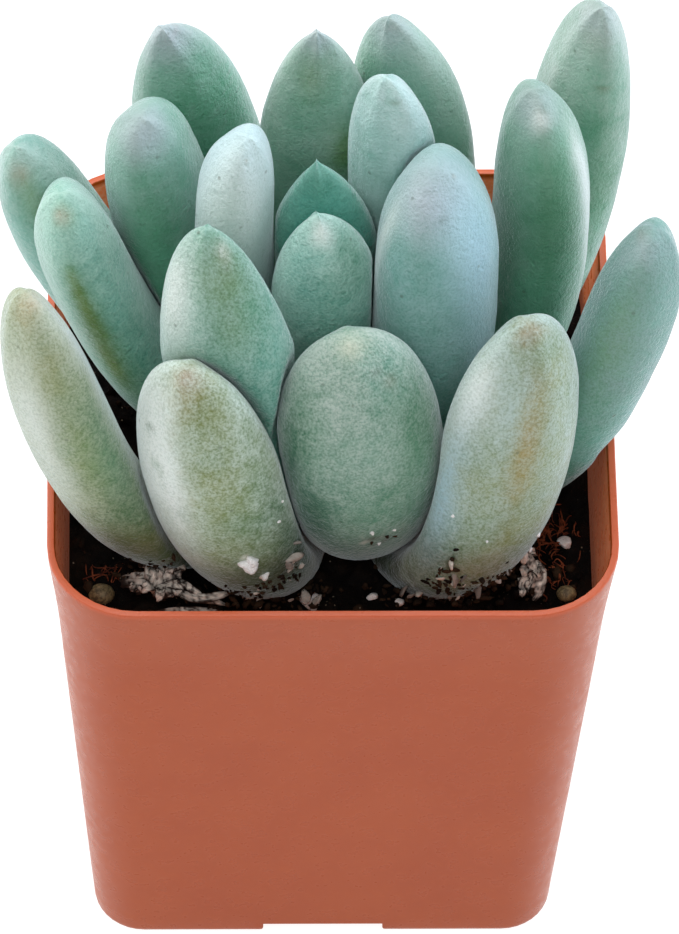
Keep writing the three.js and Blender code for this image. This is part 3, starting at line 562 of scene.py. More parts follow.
# Living leaf skin, grown and coated with farina, a powdery wax. The wax scatters light, so that the
# green tissue shows through it as a chalky blue-grey. It is thinner in patches where drops have run.
# Real grains of it are too fine to show here, so they are drawn about a third of a millimetre wide.
# They show most on the front leaves, which the photo has sharpest, and where the grain dips it is darkened
# with painted shade.
def leaf_material(looks):
    material, tree = new_material("leaf_skin_farina_coated")
    place = node(tree, "TexCoord", {}, "Object")
    tissue = node(tree, "Attribute", {}, "Color", attribute_name="tissue")
    wax = node(tree, "Attribute", {}, "Color", attribute_name="wax")
    bloom = node(tree, "Attribute", {}, "Fac", attribute_name="bloom")
    flow = node(tree, "Attribute", {}, "Vector", attribute_name="flow")
    fine = node(tree, "TexNoise", {
        "Vector": place, "Scale": 1 / looks.grain_size, "Detail": 3.0, "Roughness": 0.65})
    specks = node(tree, "TexNoise", {
        "Vector": place, "Scale": per_metre(0.9), "Detail": 2.0, "Roughness": 0.7})
    streaks = node(tree, "TexNoise", {
        "Vector": flow, "Scale": per_metre(1.8), "Detail": 2.0, "Roughness": 0.6, "Distortion": 0.5})
    patches = node(tree, "TexNoise", {
        "Vector": place, "Scale": per_metre(3.6), "Detail": 3.0, "Roughness": 0.6, "Distortion": 0.8})
    washes = node(tree, "TexNoise", {"Vector": place, "Scale": per_metre(8.0), "Detail": 2.0})
    pimples = node(tree, "TexVoronoi", {"Vector": place, "Scale": per_metre(2.1)}, "Distance")
    flecks = node(tree, "TexVoronoi", {"Vector": place, "Scale": per_metre(3.4)}, "Distance")
    grainy = node(tree, "MapRange", {
        "Value": node(tree, "SeparateXYZ", {0: place}, "Y"), "From Min": SHARP_LEAVES * MM,
        "From Max": SOFT_LEAVES * MM, "To Min": 1.2, "To Max": 0.35})
    cover = bloom
    for pattern, swing, share in (
            (fine, 0.5, grainy), (specks, 0.3, grainy), (streaks, 0.5, 0.3), (patches, 0.5, 0.85)):
        swung = node(tree, "MapRange", {"Value": pattern, "To Min": -swing, "To Max": swing})
        cover = node(tree, "Math", {0: swung, 1: share, 2: cover}, operation="MULTIPLY_ADD")
    cover = node(tree, "MapRange", {"Value": cover})
    waxed = node(tree, "MapRange", {"Value": bloom, "From Max": 0.25})
    cover = node(tree, "Math", {0: cover, 1: waxed}, operation="MULTIPLY")
    green = stained(tree, tissue, "#3f7a5a", washes, 0.4, 0.62, 0.35)
    tinted = node(tree, "Mix", {0: 1.0, 6: wax, 7: tuple(looks.wax_colour)}, 2,
                  data_type="RGBA", blend_type="MULTIPLY")
    colour = node(tree, "Mix", {0: cover, 6: green, 7: tinted}, 2, data_type="RGBA")
    # Painted shade: the colour is darkened where the fine grain dips, the pits of the bump, most on the
    # front leaves
    pit_shade = node(tree, "MapRange", {"Value": fine, "From Min": 0.54, "From Max": 0.38, "To Max": 0.34})
    crease_shade = node(tree, "Math", {0: pit_shade, 1: grainy}, operation="MULTIPLY")
    colour = node(tree, "Mix", {0: crease_shade, 6: colour, 7: to_linear("#bccdc5")}, 2,
                  data_type="RGBA", blend_type="MULTIPLY")
    colour = stained(tree, colour, "#4d5a48", flecks, 0.09, 0.04, 0.45)
    height = node(tree, "Math", {0: specks, 1: 1.2, 2: fine}, operation="MULTIPLY_ADD")
    raised = node(tree, "MapRange", {"Value": pimples, "From Min": 0.22, "From Max": 0.04})
    height = node(tree, "Math", {0: raised, 1: 0.5, 2: height}, operation="MULTIPLY_ADD")
    return finished(material, {
        "Base Color": colour,
        "Roughness": node(tree, "MapRange", {"Value": cover, "To Min": 0.4, "To Max": 0.66}),
        "IOR": 1.42, "Specular IOR Level": 0.4, "Sheen Weight": 1.0, "Sheen Roughness": 0.22,
        "Sheen Tint": to_linear("#e2eef4"), "Coat Weight": 0.2, "Coat Roughness": 0.25, "Coat IOR": 1.4,
        "Normal": node(tree, "Bump", {"Height": height, "Strength": 0.8, "Distance": 0.24 * MM})})


# Polypropylene, injection moulded. The matt tool gives it a fine even grain, and handling leaves faint
# scuffs and, inside the rim, a little dust from the soil. The rim's edge is painted paler, a painted
# highlight. The inner wall is painted a lighter orange and given a faint glow, painted light that stands for
# the light that a wall this thin lets through.
def pot_material(looks):
    material, tree = new_material("polypropylene_injection_moulded")
    place = node(tree, "TexCoord", {}, "Object")
    inside = node(tree, "Attribute", {}, "Fac", attribute_name="inside")
    edge = node(tree, "Attribute", {}, "Fac", attribute_name="edge")
    tool = node(tree, "TexNoise", {"Vector": place, "Scale": per_metre(0.35), "Detail": 2.0})
    clouds = node(tree, "TexNoise", {"Vector": place, "Scale": per_metre(9.0), "Detail": 3.0})
    scuffs = node(tree, "TexNoise", {"Vector": place, "Scale": per_metre(1.4), "Detail": 2.0})
    colour = stained(tree, tuple(looks.plastic), "#ad4a0c", clouds, 0.35, 0.65, 0.5)
    colour = stained(tree, colour, "#c0683c", scuffs, 0.6, 0.75, 0.12)
    # Painted light: the inner wall's plastic is made a lighter orange
    lit = node(tree, "Mix", {0: 0.95, 6: colour, 7: to_linear("#ff8c50")}, 2, data_type="RGBA")
    dust = node(tree, "Math", {0: tool, 1: 0.7, 2: scuffs}, operation="MULTIPLY_ADD")
    dusty = stained(tree, lit, "#f0b48c", dust, 0.8, 1.0, 0.5)
    colour = node(tree, "Mix", {0: inside, 6: colour, 7: dusty}, 2, data_type="RGBA")
    # Painted highlight: the rim's edge is made paler
    colour = stained(tree, colour, "#d2694a", edge)
    height = node(tree, "Math", {0: clouds, 1: 2.0, 2: tool}, operation="MULTIPLY_ADD")
    polish = node(tree, "MapRange", {
        "Value": scuffs, "From Min": 0.3, "From Max": 0.7, "To Min": 0.24, "To Max": 0.38})
    return finished(material, {
        "Base Color": colour, "Roughness": polish, "IOR": 1.49, "Specular IOR Level": 0.26,
        "Normal": node(tree, "Bump", {"Height": height, "Strength": 0.04, "Distance": 0.1 * MM}),
        # Painted light: a faint glow on the inner wall
        "Emission Color": to_linear("#ff9572"),
        "Emission Strength": node(tree, "MapRange", {"Value": inside, "To Max": 0.085})})


# Peat with bark, damp and crumbled by hand. It is almost black between its crumbs, with brown
# fibres and a few pale mineral specks.
def soil_material(looks):
    material, tree = new_material("peat_crumbled")
    place = node(tree, "TexCoord", {}, "Object")
    tone = node(tree, "Attribute", {}, "Fac", attribute_name="tone")
    crumbs = node(tree, "TexNoise", {
        "Vector": place, "Scale": per_metre(0.8), "Detail": 4.0, "Roughness": 0.7})
    fibres = node(tree, "TexNoise", {
        "Vector": place, "Scale": per_metre(0.4), "Detail": 2.0, "Distortion": 1.5})
    specks = node(tree, "TexVoronoi", {"Vector": place, "Scale": per_metre(1.3)}, "Distance")
    colour = stained(tree, tuple(looks.peat), "#4a3828", tone)
    colour = stained(tree, colour, "#100c08", crumbs, 0.4, 0.75, 0.6)
    colour = stained(tree, colour, "#4e3422", fibres, 0.68, 0.76, 0.5)
    colour = stained(tree, colour, "#a49a86", specks, 0.1, 0.05, 0.7)
    height = node(tree, "Math", {0: fibres, 1: 0.6, 2: crumbs}, operation="MULTIPLY_ADD")
    damp = node(tree, "MapRange", {
        "Value": crumbs, "From Min": 0.3, "From Max": 0.7, "To Min": 0.95, "To Max": 0.7})
    return finished(material, {
        "Base Color": colour, "Roughness": damp, "Specular IOR Level": 0.12,
        "Normal": node(tree, "Bump", {"Height": height, "Strength": 0.7, "Distance": 0.4 * MM})})


# Dead leaf tissue, shrivelled and air dried. It is grey-beige and papery, with lengthwise veins. On the
# withered leaves, painted shade darkens the sides and roots of the blades, their lowest parts and their
# creases; a loose scrap is darker or lighter at random.
def withered_material(looks):
    material, tree = new_material("leaf_tissue_air_dried")
    place = node(tree, "TexCoord", {}, "Object")
    fold_shade_and_tone = node(tree, "Attribute", {}, "Fac", attribute_name="tone")
    mottle = node(tree, "TexNoise", {
        "Vector": place, "Scale": per_metre(0.7), "Detail": 4.0, "Roughness": 0.7})
    veins = node(tree, "TexNoise", {
        "Vector": place, "Scale": per_metre(0.25), "Detail": 2.0, "Distortion": 0.8})
    colour = stained(tree, tuple(looks.dead_leaf), "#d5cabf", mottle, 0.35, 0.65)
    colour = stained(tree, colour, "#fffaf2", veins, 0.55, 0.7, 0.5)
    # Painted shade on the withered leaves; on a loose scrap, a darker or lighter tone at random
    colour = stained(tree, colour, "#2e2622", fold_shade_and_tone)
    height = node(tree, "Math", {0: veins, 1: 0.8, 2: mottle}, operation="MULTIPLY_ADD")
    return finished(material, {
        "Base Color": colour, "Roughness": 0.85, "Specular IOR Level": 0.25,
        "Normal": node(tree, "Bump", {"Height": height, "Strength": 0.6, "Distance": 0.3 * MM})})


# Expanded perlite, popped in a furnace. It is a white glassy foam with pores and a little soil on it.
def perlite_material():
    material, tree = new_material("perlite_furnace_expanded")
    place = node(tree, "TexCoord", {}, "Object")
    pores = node(tree, "TexNoise", {
        "Vector": place, "Scale": per_metre(0.22), "Detail": 3.0, "Roughness": 0.7})
    dirt = node(tree, "TexNoise", {"Vector": place, "Scale": per_metre(0.6), "Detail": 2.0})
    colour = stained(tree, to_linear("#e8e6e2"), "#ffffff", pores, 0.35, 0.6)
    colour = stained(tree, colour, "#7c6a58", dirt, 0.62, 0.72, 0.4)
    return finished(material, {
        "Base Color": colour, "Roughness": 0.7, "Specular IOR Level": 0.4, "Subsurface Weight": 0.2,
        "Subsurface Radius": (1.0, 1.0, 0.9), "Subsurface Scale": 0.5 * MM,
        "Normal": node(tree, "Bump", {"Height": pores, "Strength": 0.8, "Distance": 0.2 * MM})})


# River gravel, worn smooth by water: a brownish stone with darker grains and a dull shine.
def pebble_material():
    material, tree = new_material("gravel_water_worn")
    place = node(tree, "TexCoord", {}, "Object")
    grains = node(tree, "TexNoise", {
        "Vector": place, "Scale": per_metre(0.35), "Detail": 3.0, "Roughness": 0.7})
    bands = node(tree, "TexNoise", {"Vector": place, "Scale": per_metre(1.0), "Detail": 2.0})
    colour = stained(tree, to_linear("#4c4430"), "#8a7c58", grains, 0.4, 0.62)
    colour = stained(tree, colour, "#a0956e", bands, 0.5, 0.65, 0.6)
    return finished(material, {
        "Base Color": colour, "Roughness": 0.55, "Specular IOR Level": 0.5,
        "Normal": node(tree, "Bump", {"Height": grains, "Strength": 0.4, "Distance": 0.2 * MM})})


# Coir and root fibre, dried: thin red-brown threads, lighter where they fray.
def fibre_material():
    material, tree = new_material("root_fibre_dried")
    place = node(tree, "TexCoord", {}, "Object")
    streaks = node(tree, "TexNoise", {"Vector": place, "Scale": per_metre(0.9), "Detail": 3.0})
    colour = stained(tree, to_linear("#4a2013"), "#8f4c2e", streaks, 0.38, 0.62)
    return finished(material, {"Base Color": colour, "Roughness": 0.8, "Specular IOR Level": 0.3})


# Stem bark, grown and corky where old leaves have dropped: pale green tissue with brown scars.
def stem_material():
    material, tree = new_material("stem_bark_corky")
    place = node(tree, "TexCoord", {}, "Object")
    scars = node(tree, "TexNoise", {"Vector": place, "Scale": per_metre(2.4), "Detail": 3.0})
    cork = node(tree, "TexNoise", {"Vector": place, "Scale": per_metre(0.5), "Detail": 3.0})
    colour = stained(tree, to_linear("#7f8c6a"), "#6a5540", scars, 0.4, 0.6)
    colour = stained(tree, colour, "#a3957a", cork, 0.5, 0.7, 0.5)
    return finished(material, {
        "Base Color": colour, "Roughness": 0.75,
        "Normal": node(tree, "Bump", {"Height": cork, "Strength": 0.6, "Distance": 0.3 * MM})})


# Paper, rolled out white and evenly lit: it glows, so that the floor shows as plain white.
def floor_material(looks):
    material, _ = new_material("paper_backdrop_rolled")
    return finished(material, {
        "Base Color": tuple(looks.floor_colour), "Roughness": 0.9, "Specular IOR Level": 0.1,
        "Emission Color": (1, 1, 1, 1), "Emission Strength": looks.floor_glow})


def cubic(t, start, knee, shoulder, end):
    """Points on a cubic curve: the sum of its four steering points, each times its share."""
    u = 1 - t
    return u ** 3 * start + 3 * u * u * t * knee + 3 * u * t * t * shoulder + t ** 3 * end


class LeafFrames:
    """The midline of a leaf at lengths s, with the directions along it, across it and towards its
    inner face, its half width and its thickness. The midline is a cubic curve. The width rises by a
    power of a sine to the widest place, and from there falls as (1 - x^fullness)^point."""

    def __init__(self, leaf, s):
        angle = math.radians(leaf.turn)
        radius = HEART_ROOT_RADIUS if leaf.name.startswith("heart") else STEM_RADIUS + GAP
        start = np.array([radius * math.cos(angle), radius * math.sin(angle), leaf.root])
        knee, shoulder, tip = (np.array(place, float) for place in (leaf.knee, leaf.shoulder, leaf.tip))
        t = s[:, None]
        u = 1 - t
        self.s = s
        self.at = cubic(t, start, knee, shoulder, tip)
        self.along = unit(
            u * u * (knee - start) + 2 * u * t * (shoulder - knee) + t * t * (tip - shoulder))
        level = np.array([-math.sin(angle), math.cos(angle), 0.0])
        self.inward = unit(np.cross(self.along, level))
        self.across = np.cross(self.inward, self.along)
        to_widest = np.minimum(s / LEAF_WIDEST, 1)
        past = np.clip((s - LEAF_WIDEST) / (1 - LEAF_WIDEST), 0, 1)
        swell = LEAF_BASE + (1 - LEAF_BASE) * np.sin(to_widest * math.pi / 2) ** LEAF_SWELL
        full = np.where(s < LEAF_WIDEST, swell, (1 - past ** leaf.fullness) ** leaf.point)
        self.half = full * leaf.width / 2
        self.thick = full * (1 - TIP_THINNING * past ** 4) * leaf.width * LEAF_PLUMPNESS

    def skin(self, angles):
        """Points at angles round each place on the midline: a half ellipse for each face."""
        face = np.where(np.sin(angles) > 0, INNER_FACE, OUTER_FACE)
        side = (self.half[:, None] * np.cos(angles))[..., None] * self.across[:, None]
        through = (self.thick[:, None] * face * np.sin(angles))[..., None] * self.inward[:, None]
        return self.at[:, None] + side + through


class LeafCore(LeafFrames):
    """The ellipsoids strung along a leaf's midline that its depth is measured from."""

    def __init__(self, leaf, rank):
        super().__init__(leaf, np.linspace(0, 1, CORE_SAMPLES))
        self.rank = rank
        self.half = np.maximum(self.half, CORE_LEAST)
        self.thick = np.maximum(self.thick, 2 * CORE_LEAST)
        self.reach = np.maximum(self.thick / 2, CORE_REACH)
        margin = self.half.max() + 1
        self.low = self.at.min(axis=0) - margin
        self.high = self.at.max(axis=0) + margin

    def depth(self, points):
        """0 on the midline, 1 at the skin and more outside: the least over the ellipsoids of the
        root of the sum of the squared distances, each over its own radius."""
        offset = points[:, None] - self.at
        inward = np.einsum("nkj,kj->nk", offset, self.inward)
        through = inward / (np.where(inward > 0, INNER_FACE, OUTER_FACE) * self.thick)
        across = np.einsum("nkj,kj->nk", offset, self.across) / self.half
        along = np.einsum("nkj,kj->nk", offset, self.along) / self.reach
        return np.sqrt((through ** 2 + across ** 2 + along ** 2).min(axis=1))


def wall_at(z, inset):
    """The side and corner radius of the tapered wall at a height, moved in by an inset."""
    up = z / POT_HEIGHT
    side = FOOT_SIDE + (RIM_SIDE - FOOT_SIDE) * up - 2 * inset
    corner = FOOT_CORNER + (RIM_CORNER - FOOT_CORNER) * up - inset
    return side, corner


def beyond_wall(points, inset):
    """How far points lie outside the tapered wall moved in by an inset, and less than 0 inside it:
    the distance from the corner circle's centre, or from the middle of a side, less the radius."""
    side, corner = wall_at(points[:, 2], inset)
    beyond = np.abs(points[:, :2]) - (side / 2 - corner)[:, None]
    return np.hypot(*np.maximum(beyond, 0).T) + np.minimum(beyond.max(axis=1), 0) - corner


def clear_points(points, share, rank, cores):
    """Which points, each at a share of the way to its own leaf's skin, are clear of the stem, the
    pot's wall and the room that every other leaf keeps."""
    radial = np.hypot(points[:, 0], points[:, 1]) / STEM_RADIUS
    above = np.maximum(points[:, 2] - STEM_SHOULDER, 0) / (STEM_TOP - STEM_SHOULDER)
    clear = np.hypot(radial, above) >= 1 + PRESS_MARGIN
    is_inside = beyond_wall(points, LIP_PROUD + WALL + 2 * GAP) < 0
    clear &= is_inside | (points[:, 2] > POT_HEIGHT + RIM_CLEARANCE)
    for core in cores:
        if core.rank == rank:
            continue
        near = np.flatnonzero(clear & np.all((points > core.low) & (points < core.high), axis=1))
        if len(near) == 0:
            continue
        limit = share[near] * AHEAD_KEEPS
        if core.rank < rank:
            limit = np.minimum(share[near] / AHEAD_KEEPS, 1)
        clear[near] = core.depth(points[near]) > limit + PRESS_MARGIN
    return clear


def pressed(middle, skin, rank, cores):
    """Pulls skin points towards the midline until they are clear, by halving the share of the way
    that each may take, so that leaves that crowd each other meet in a flattened contact. A share is
    then drawn down towards the mean of the four beside it, which rounds the edge of the contact."""
    share = np.ones(len(skin))
    caught = np.flatnonzero(~clear_points(skin, share, rank, cores))
    low = np.full(len(caught), LEAST_SHARE)
    high = np.ones(len(caught))
    start = middle[caught]
    way = skin[caught] - start
    for _ in range(PRESS_STEPS):
        half = (low + high) / 2
        clear = clear_points(start + half[:, None] * way, half, rank, cores)
        low = np.where(clear, half, low)
        high = np.where(clear, high, half)
    share[caught] = low
    share = share.reshape(LEAF_RINGS, LEAF_SIDES)
    for _ in range(SOFTENINGS):
        wide = np.pad(share, ((1, 1), (0, 0)), mode="edge")
        mean = (wide[:-2] + wide[2:] + np.roll(share, 1, axis=1) + np.roll(share, -1, axis=1)) / 4
        share = np.minimum(share, 0.5 * share + 0.5 * mean)
    return middle + share.reshape(-1, 1) * (skin - middle)


def leaf_surface(leaf, rank, cores):
    """The points of a leaf's skin, its frames, and the angle of each point. Lengths follow a sine,
    so that the rings close up towards the tip. Growth leaves the skin a little uneven."""
    s = np.sin(np.arange(LEAF_RINGS) / LEAF_RINGS * math.pi / 2)
    angles = np.arange(LEAF_SIDES) / LEAF_SIDES * 2 * math.pi
    frames = LeafFrames(leaf, s)
    skin = frames.skin(angles)
    uneven = 1 + sum(share * rough(skin, size, rank + seed) for share, size, seed in UNEVENNESS)
    middle = np.broadcast_to(frames.at[:, None], skin.shape)
    skin = middle + uneven[..., None] * (skin - middle)
    from_face = np.mod(angles, math.pi) - math.pi / 2
    facing = np.exp(-(from_face / KEEL_SPREAD) ** 2) * np.sign(np.sin(angles))
    keel = KEEL * between(*KEEL_RISES, s)[:, None] * facing
    skin = skin + keel[..., None] * frames.inward[:, None]
    rings = pressed(middle.reshape(-1, 3), skin.reshape(-1, 3), rank, cores).reshape(skin.shape)
    return rings, frames, angles


def mark_weights(leaf, points, mark):
    """How strongly a mark shows at each point: a bell round its place, longer along the leaf than
    round it, with an edge that noise makes uneven."""
    _, s, angle, reach_along, reach_round, strength = mark
    frames = LeafFrames(leaf, np.array([s]))
    centre = frames.skin(np.array([math.radians(angle)]))[0, 0]
    offset = points - centre
    along = offset @ frames.along[0]
    aside = np.linalg.norm(offset - along[:, None] * frames.along[0], axis=1)
    edge = 1 + 0.35 * rough(points, 1.5 * max(reach_round, 0.6), 7)
    spread = (along / reach_along) ** 2 + (aside / reach_round) ** 2
    return strength * np.exp(-spread * edge)


def leaf_colours(leaf, points, s, angle):
    """The tone of the tissue, the tone of the wax and how much wax covers it at each point: thicker on the
    margins and towards the tip, none where soil has splashed, and then the leaf's own marks. The thicker wax
    on the margins is partly a painted highlight where the side lights fall. The foot is darkened with
    painted shade, and its splashed soil is dirt and painted shade at once. A leaf at the side has its thick
    wax on its two faces instead, a painted highlight where the light from both sides falls."""
    tissue = np.tile(np.array(to_linear(leaf.tissue)), (len(points), 1))
    wax = np.tile(np.array(to_linear(leaf.wax)), (len(points), 1))
    # Painted shade: the tissue darkens towards the foot, near the soil; the rough part is tone that differs
    # at random
    low = between(*SHADED, points[:, 2])
    shade = 1 + 0.16 * rough(points, 5, 3) - 0.55 * low
    tissue[:, :3] *= shade[:, None]
    is_sideways = abs(math.cos(math.radians(leaf.turn))) > SIDE_LEAF
    # Partly thicker wax and partly a painted highlight: more wax on the margins, or on the faces of a leaf
    # at the side, where the side lights fall
    margin = np.abs(np.sin(angle) if is_sideways else np.cos(angle)) ** 4
    bloom = leaf.cover - 0.08 + 0.4 * margin * between(0.3, 0.7, s) + 0.16 * between(0.7, 1, s)
    bloom = bloom - 0.42 * low * (1 - 0.5 * margin) + 0.12 * rough(points, 4, 11)
    for mark in leaf.marks:
        tone, cover = MARKS[mark[0]]
        weight = mark_weights(leaf, points, mark)
        if tone is not None:
            tissue += weight[:, None] * (np.array(to_linear(tone)) - tissue)
        if mark[0] in WAX_MARKS:
            wax += weight[:, None] * (np.array(to_linear(tone)) - wax)
        bloom += weight * (cover - bloom)
    # Dirt and painted shade: soil splashed on the foot, and the shade near the soil, turn the tissue dark
    # grey-green and take its wax
    soiled_and_shaded = 0.9 * between(*SPLASH_AND_SHADE_HEIGHTS, points[:, 2] + 3.5 * rough(points, 1.1, 5))
    tissue += soiled_and_shaded[:, None] * (np.array(to_linear(SPLASH_AND_SHADE_TONE)) - tissue)
    bloom *= 1 - soiled_and_shaded
    return tissue, wax, np.clip(bloom, 0, 1)


def square_rings(levels, corner_steps=10, wall_steps=14):
    """Rings of a square with round corners. Each level is a height and an inset. Each quarter is an
    arc, the corner's centre plus its radius times cosine and sine, and then a straight run."""
    z, inset = np.array(levels, float).T
    side, corner = wall_at(z, inset)
    centre = side / 2 - corner
    turn = np.linspace(0, math.pi / 2, corner_steps)
    arc_x = centre[:, None] + corner[:, None] * np.cos(turn)
    arc_y = centre[:, None] + corner[:, None] * np.sin(turn)
    run = np.linspace(0, 1, wall_steps + 2)[1:-1]
    run_x = centre[:, None] * (1 - 2 * run)
    run_y = np.repeat((centre + corner)[:, None], wall_steps, axis=1)
    x = np.concatenate([arc_x, run_x], axis=1)
    y = np.concatenate([arc_y, run_y], axis=1)
    quarters = [(x, y), (-y, x), (-x, -y), (y, -x)]
    flat = np.concatenate([np.stack(pair, axis=-1) for pair in quarters], axis=1)
    height = np.broadcast_to(z[:, None, None], flat.shape[:2] + (1,))
    return np.concatenate([flat, height], axis=-1)


def cut(target, tool):
    """Cuts a tool out of a target and removes the tool."""
    modifier = target.modifiers.new("cut", "BOOLEAN")
    modifier.operation = "DIFFERENCE"
    modifier.solver = "EXACT"
    modifier.object = tool
    depsgraph = bpy.context.evaluated_depsgraph_get()
    mesh = bpy.data.meshes.new_from_object(target.evaluated_get(depsgraph))
    target.modifiers.clear()
    target.data = mesh
    bpy.data.objects.remove(tool)


def prism(profile, low, high, is_along_x):
    """A closed bar: a profile of (side, height) points carried along a straight line."""
    side, height = np.array(profile, float).T
    ends = []
    for place in (low, high):
        level = np.full(len(side), float(place))
        ends.append(np.stack([level, side, height] if is_along_x else [-side, level, height], axis=-1))
    rings = np.stack(ends)
    return closed_surface(rings, rings[0].mean(axis=0), rings[1].mean(axis=0))


def pot_walls(material):
    """The outer wall and the hollow as two closed bodies. Each is rings of rounded squares. The outer
    one strays a little from flat, as a thin moulding does, by noise times its distance from the
    middle."""
    lean = LIP_PROUD / (POT_HEIGHT - LIP_HEIGHT)
    rising = [(z, lean * z) for z in np.linspace(3, 54, 14)]
    over_rim = [(POT_HEIGHT - down, inset) for down, inset in RIM_OUTLINE]
    rings = square_rings(FOOT_OUTLINE + rising + LIP_OUTLINE + over_rim)
    wavy = sum(
        reach * rough(rings * (1, 1, drawn), size, seed) for reach, size, drawn, seed in WALL_WAVES)
    wavy = wavy * between(*WAVES_RISE, rings[..., 2])
    rings[..., :2] *= 1 + (wavy / WALL_DISTANCE)[..., None]
    shell = new_object("pot_shell", *closed_surface(rings, (0, 0, 0), (0, 0, POT_HEIGHT)), material)
    upright = [(z, SEEN_WALL) for z in (WALL, *np.linspace(6, 69, 8))]
    rings = square_rings(upright + [(z, SEEN_WALL - opening) for z, opening in INNER_RIM_OUTLINE])
    hollow = new_object("hollow", *closed_surface(rings, (0, 0, WALL), (0, 0, ABOVE_RIM)), material)
    return shell, hollow


def channel_outlines():
    """Half outlines of the crossing channel under the floor, with round edges, and of the ridge that
    it makes inside the pot."""
    half = CHANNEL_WIDTH / 2
    turn = np.linspace(-math.pi / 2, 0, 6)
    flare_x = -half - CHANNEL_ROUNDING + CHANNEL_ROUNDING * np.cos(turn)
    flare_z = CHANNEL_ROUNDING + CHANNEL_ROUNDING * np.sin(turn)
    channel = [(-half - CHANNEL_ROUNDING, BELOW_FLOOR), *zip(flare_x, flare_z), (-half, CHANNEL_HEIGHT)]
    ridge = [(-half - WALL, BELOW_FLOOR), (-half - WALL, CHANNEL_HEIGHT + WALL)]
    return channel, ridge


def make_pot(looks):
    """A tapered shell with a soft lip and a rounded rim. The hollow is cut out of it less a ridge,
    which leaves the floor over the channel whole, and then the channel and the drains are cut."""
    material = pot_material(looks)
    shell, hollow = pot_walls(material)
    channel, ridge = channel_outlines()
    for outline, target in ((ridge, hollow), (channel, shell)):
        if target is shell:
            cut(shell, hollow)
        profile = outline + [(-x, z) for x, z in reversed(outline)]
        for is_along_x in (True, False):
            bar = prism(list(reversed(profile)), -BAR_REACH, BAR_REACH, is_along_x)
            cut(target, new_object("bar", *bar, material))
    angles = np.linspace(0, 2 * math.pi, DRAIN_SIDES + 1)[:-1]
    for x, y, radius in DRAINS:
        circle = np.stack([x + radius * np.cos(angles), y + radius * np.sin(angles)], axis=-1)
        ends = [
            np.column_stack([circle, np.full(DRAIN_SIDES, float(z))]) for z in (BELOW_FLOOR, DRAIN_TOP)]
        tube = closed_surface(np.stack(ends), (x, y, BELOW_FLOOR), (x, y, DRAIN_TOP))
        cut(shell, new_object("drain", *tube, material))
    mesh = shell.data
    mesh.polygons.foreach_set("use_smooth", np.ones(len(mesh.polygons), bool))
    mesh.set_sharp_from_angle(angle=math.radians(SMOOTH_BELOW))
    places = np.empty(len(mesh.vertices) * 3)
    mesh.vertices.foreach_get("co", places)
    places = places.reshape(-1, 3) / MM
    beyond = beyond_wall(places, SEEN_WALL - FACE_MARGIN)
    # The inner face, which is painted lighter and glows as painted light, and takes the dust
    is_inside = (beyond < 0) & (places[:, 2] < INNER_FACE_TOP)
    add_values(shell, "inside", is_inside.astype(float))
    # Painted highlight: the paler edge of the rim
    rim_highlight = RIM_HIGHLIGHT_STRENGTH * between(*RIM_HIGHLIGHT_HEIGHTS, places[:, 2])
    add_values(shell, "edge", rim_highlight * (beyond > -RIM_HIGHLIGHT_REACH))
    return shell


def soil_height(x, y):
    """The soil's level: crumbs and hollows as sines, less a dip round the stem, as the CAD has it."""
    crumbs = np.sin(0.9 * x + 1.3) * np.sin(0.8 * y - 0.4) + 0.6 * np.sin(1.7 * x - 0.9 * y)
    dip = SOIL_DIP * np.exp(-(x * x + y * y) / SOIL_DIP_REACH ** 2)
    return SOIL_LEVEL - dip + SOIL_BUMP * crumbs


def make_soil(material, cells=190):
    """The root ball. Its top is a square grid whose corners are drawn in to round ones, raised by
    the soil's level and by noise. Rings carry its edge down the wall to a flat foot."""
    line = np.linspace(-1, 1, cells)
    inset = LIP_PROUD + WALL + GAP
    side, corner = wall_at(SOIL_LEVEL, inset)
    x, y = np.meshgrid(line * side / 2, line * side / 2)
    beyond_x = np.maximum(np.abs(x) - (side / 2 - corner), 0)
    beyond_y = np.maximum(np.abs(y) - (side / 2 - corner), 0)
    far = np.hypot(beyond_x, beyond_y)
    draw = np.where(far > 0, np.maximum(beyond_x, beyond_y) / np.maximum(far, 1e-9), 1)
    x = np.sign(x) * (np.abs(x) - beyond_x * (1 - draw))
    y = np.sign(y) * (np.abs(y) - beyond_y * (1 - draw))
    flat = np.stack([x, y, np.zeros_like(x)], axis=-1)
    crumbly = 0.5 * rough(flat, 3.2, 21) + 0.4 * rough(flat, 1.1, 25, 2)
    top = np.stack([x, y, soil_height(x, y) + crumbly - 0.25], axis=-1)
    points = top.reshape(-1, 3)
    index = np.arange(cells * cells).reshape(cells, cells)
    quads = np.stack([index[:-1, :-1], index[:-1, 1:], index[1:, 1:], index[1:, :-1]], -1).reshape(-1, 4)
    edge = np.concatenate([index[0, :-1], index[:-1, -1], index[-1, :0:-1], index[:0:-1, 0]])
    rim = points[edge]
    rings = []
    for z in SKIRT_LEVELS:
        narrow = wall_at(z, inset)[0] / side
        rings.append(np.column_stack([rim[:, :2] * narrow, np.full(len(rim), z)]))
    skirt = np.concatenate(rings)
    count = len(edge)
    following = np.roll(np.arange(count), -1)
    faces = quads.tolist()
    upper = edge
    for k in range(len(rings)):
        lower = len(points) + k * count + np.arange(count)
        faces += np.stack([lower, lower[following], upper[following], upper], -1).tolist()
        upper = lower
    faces.append(upper[::-1].tolist())
    made = new_object("soil_ball", np.concatenate([points, skirt]), faces, material)
    tone = np.concatenate([between(-0.1, 0.9, crumbly.ravel()) * 0.25, np.zeros(len(skirt))])
    add_values(made, "tone", tone)
    return made


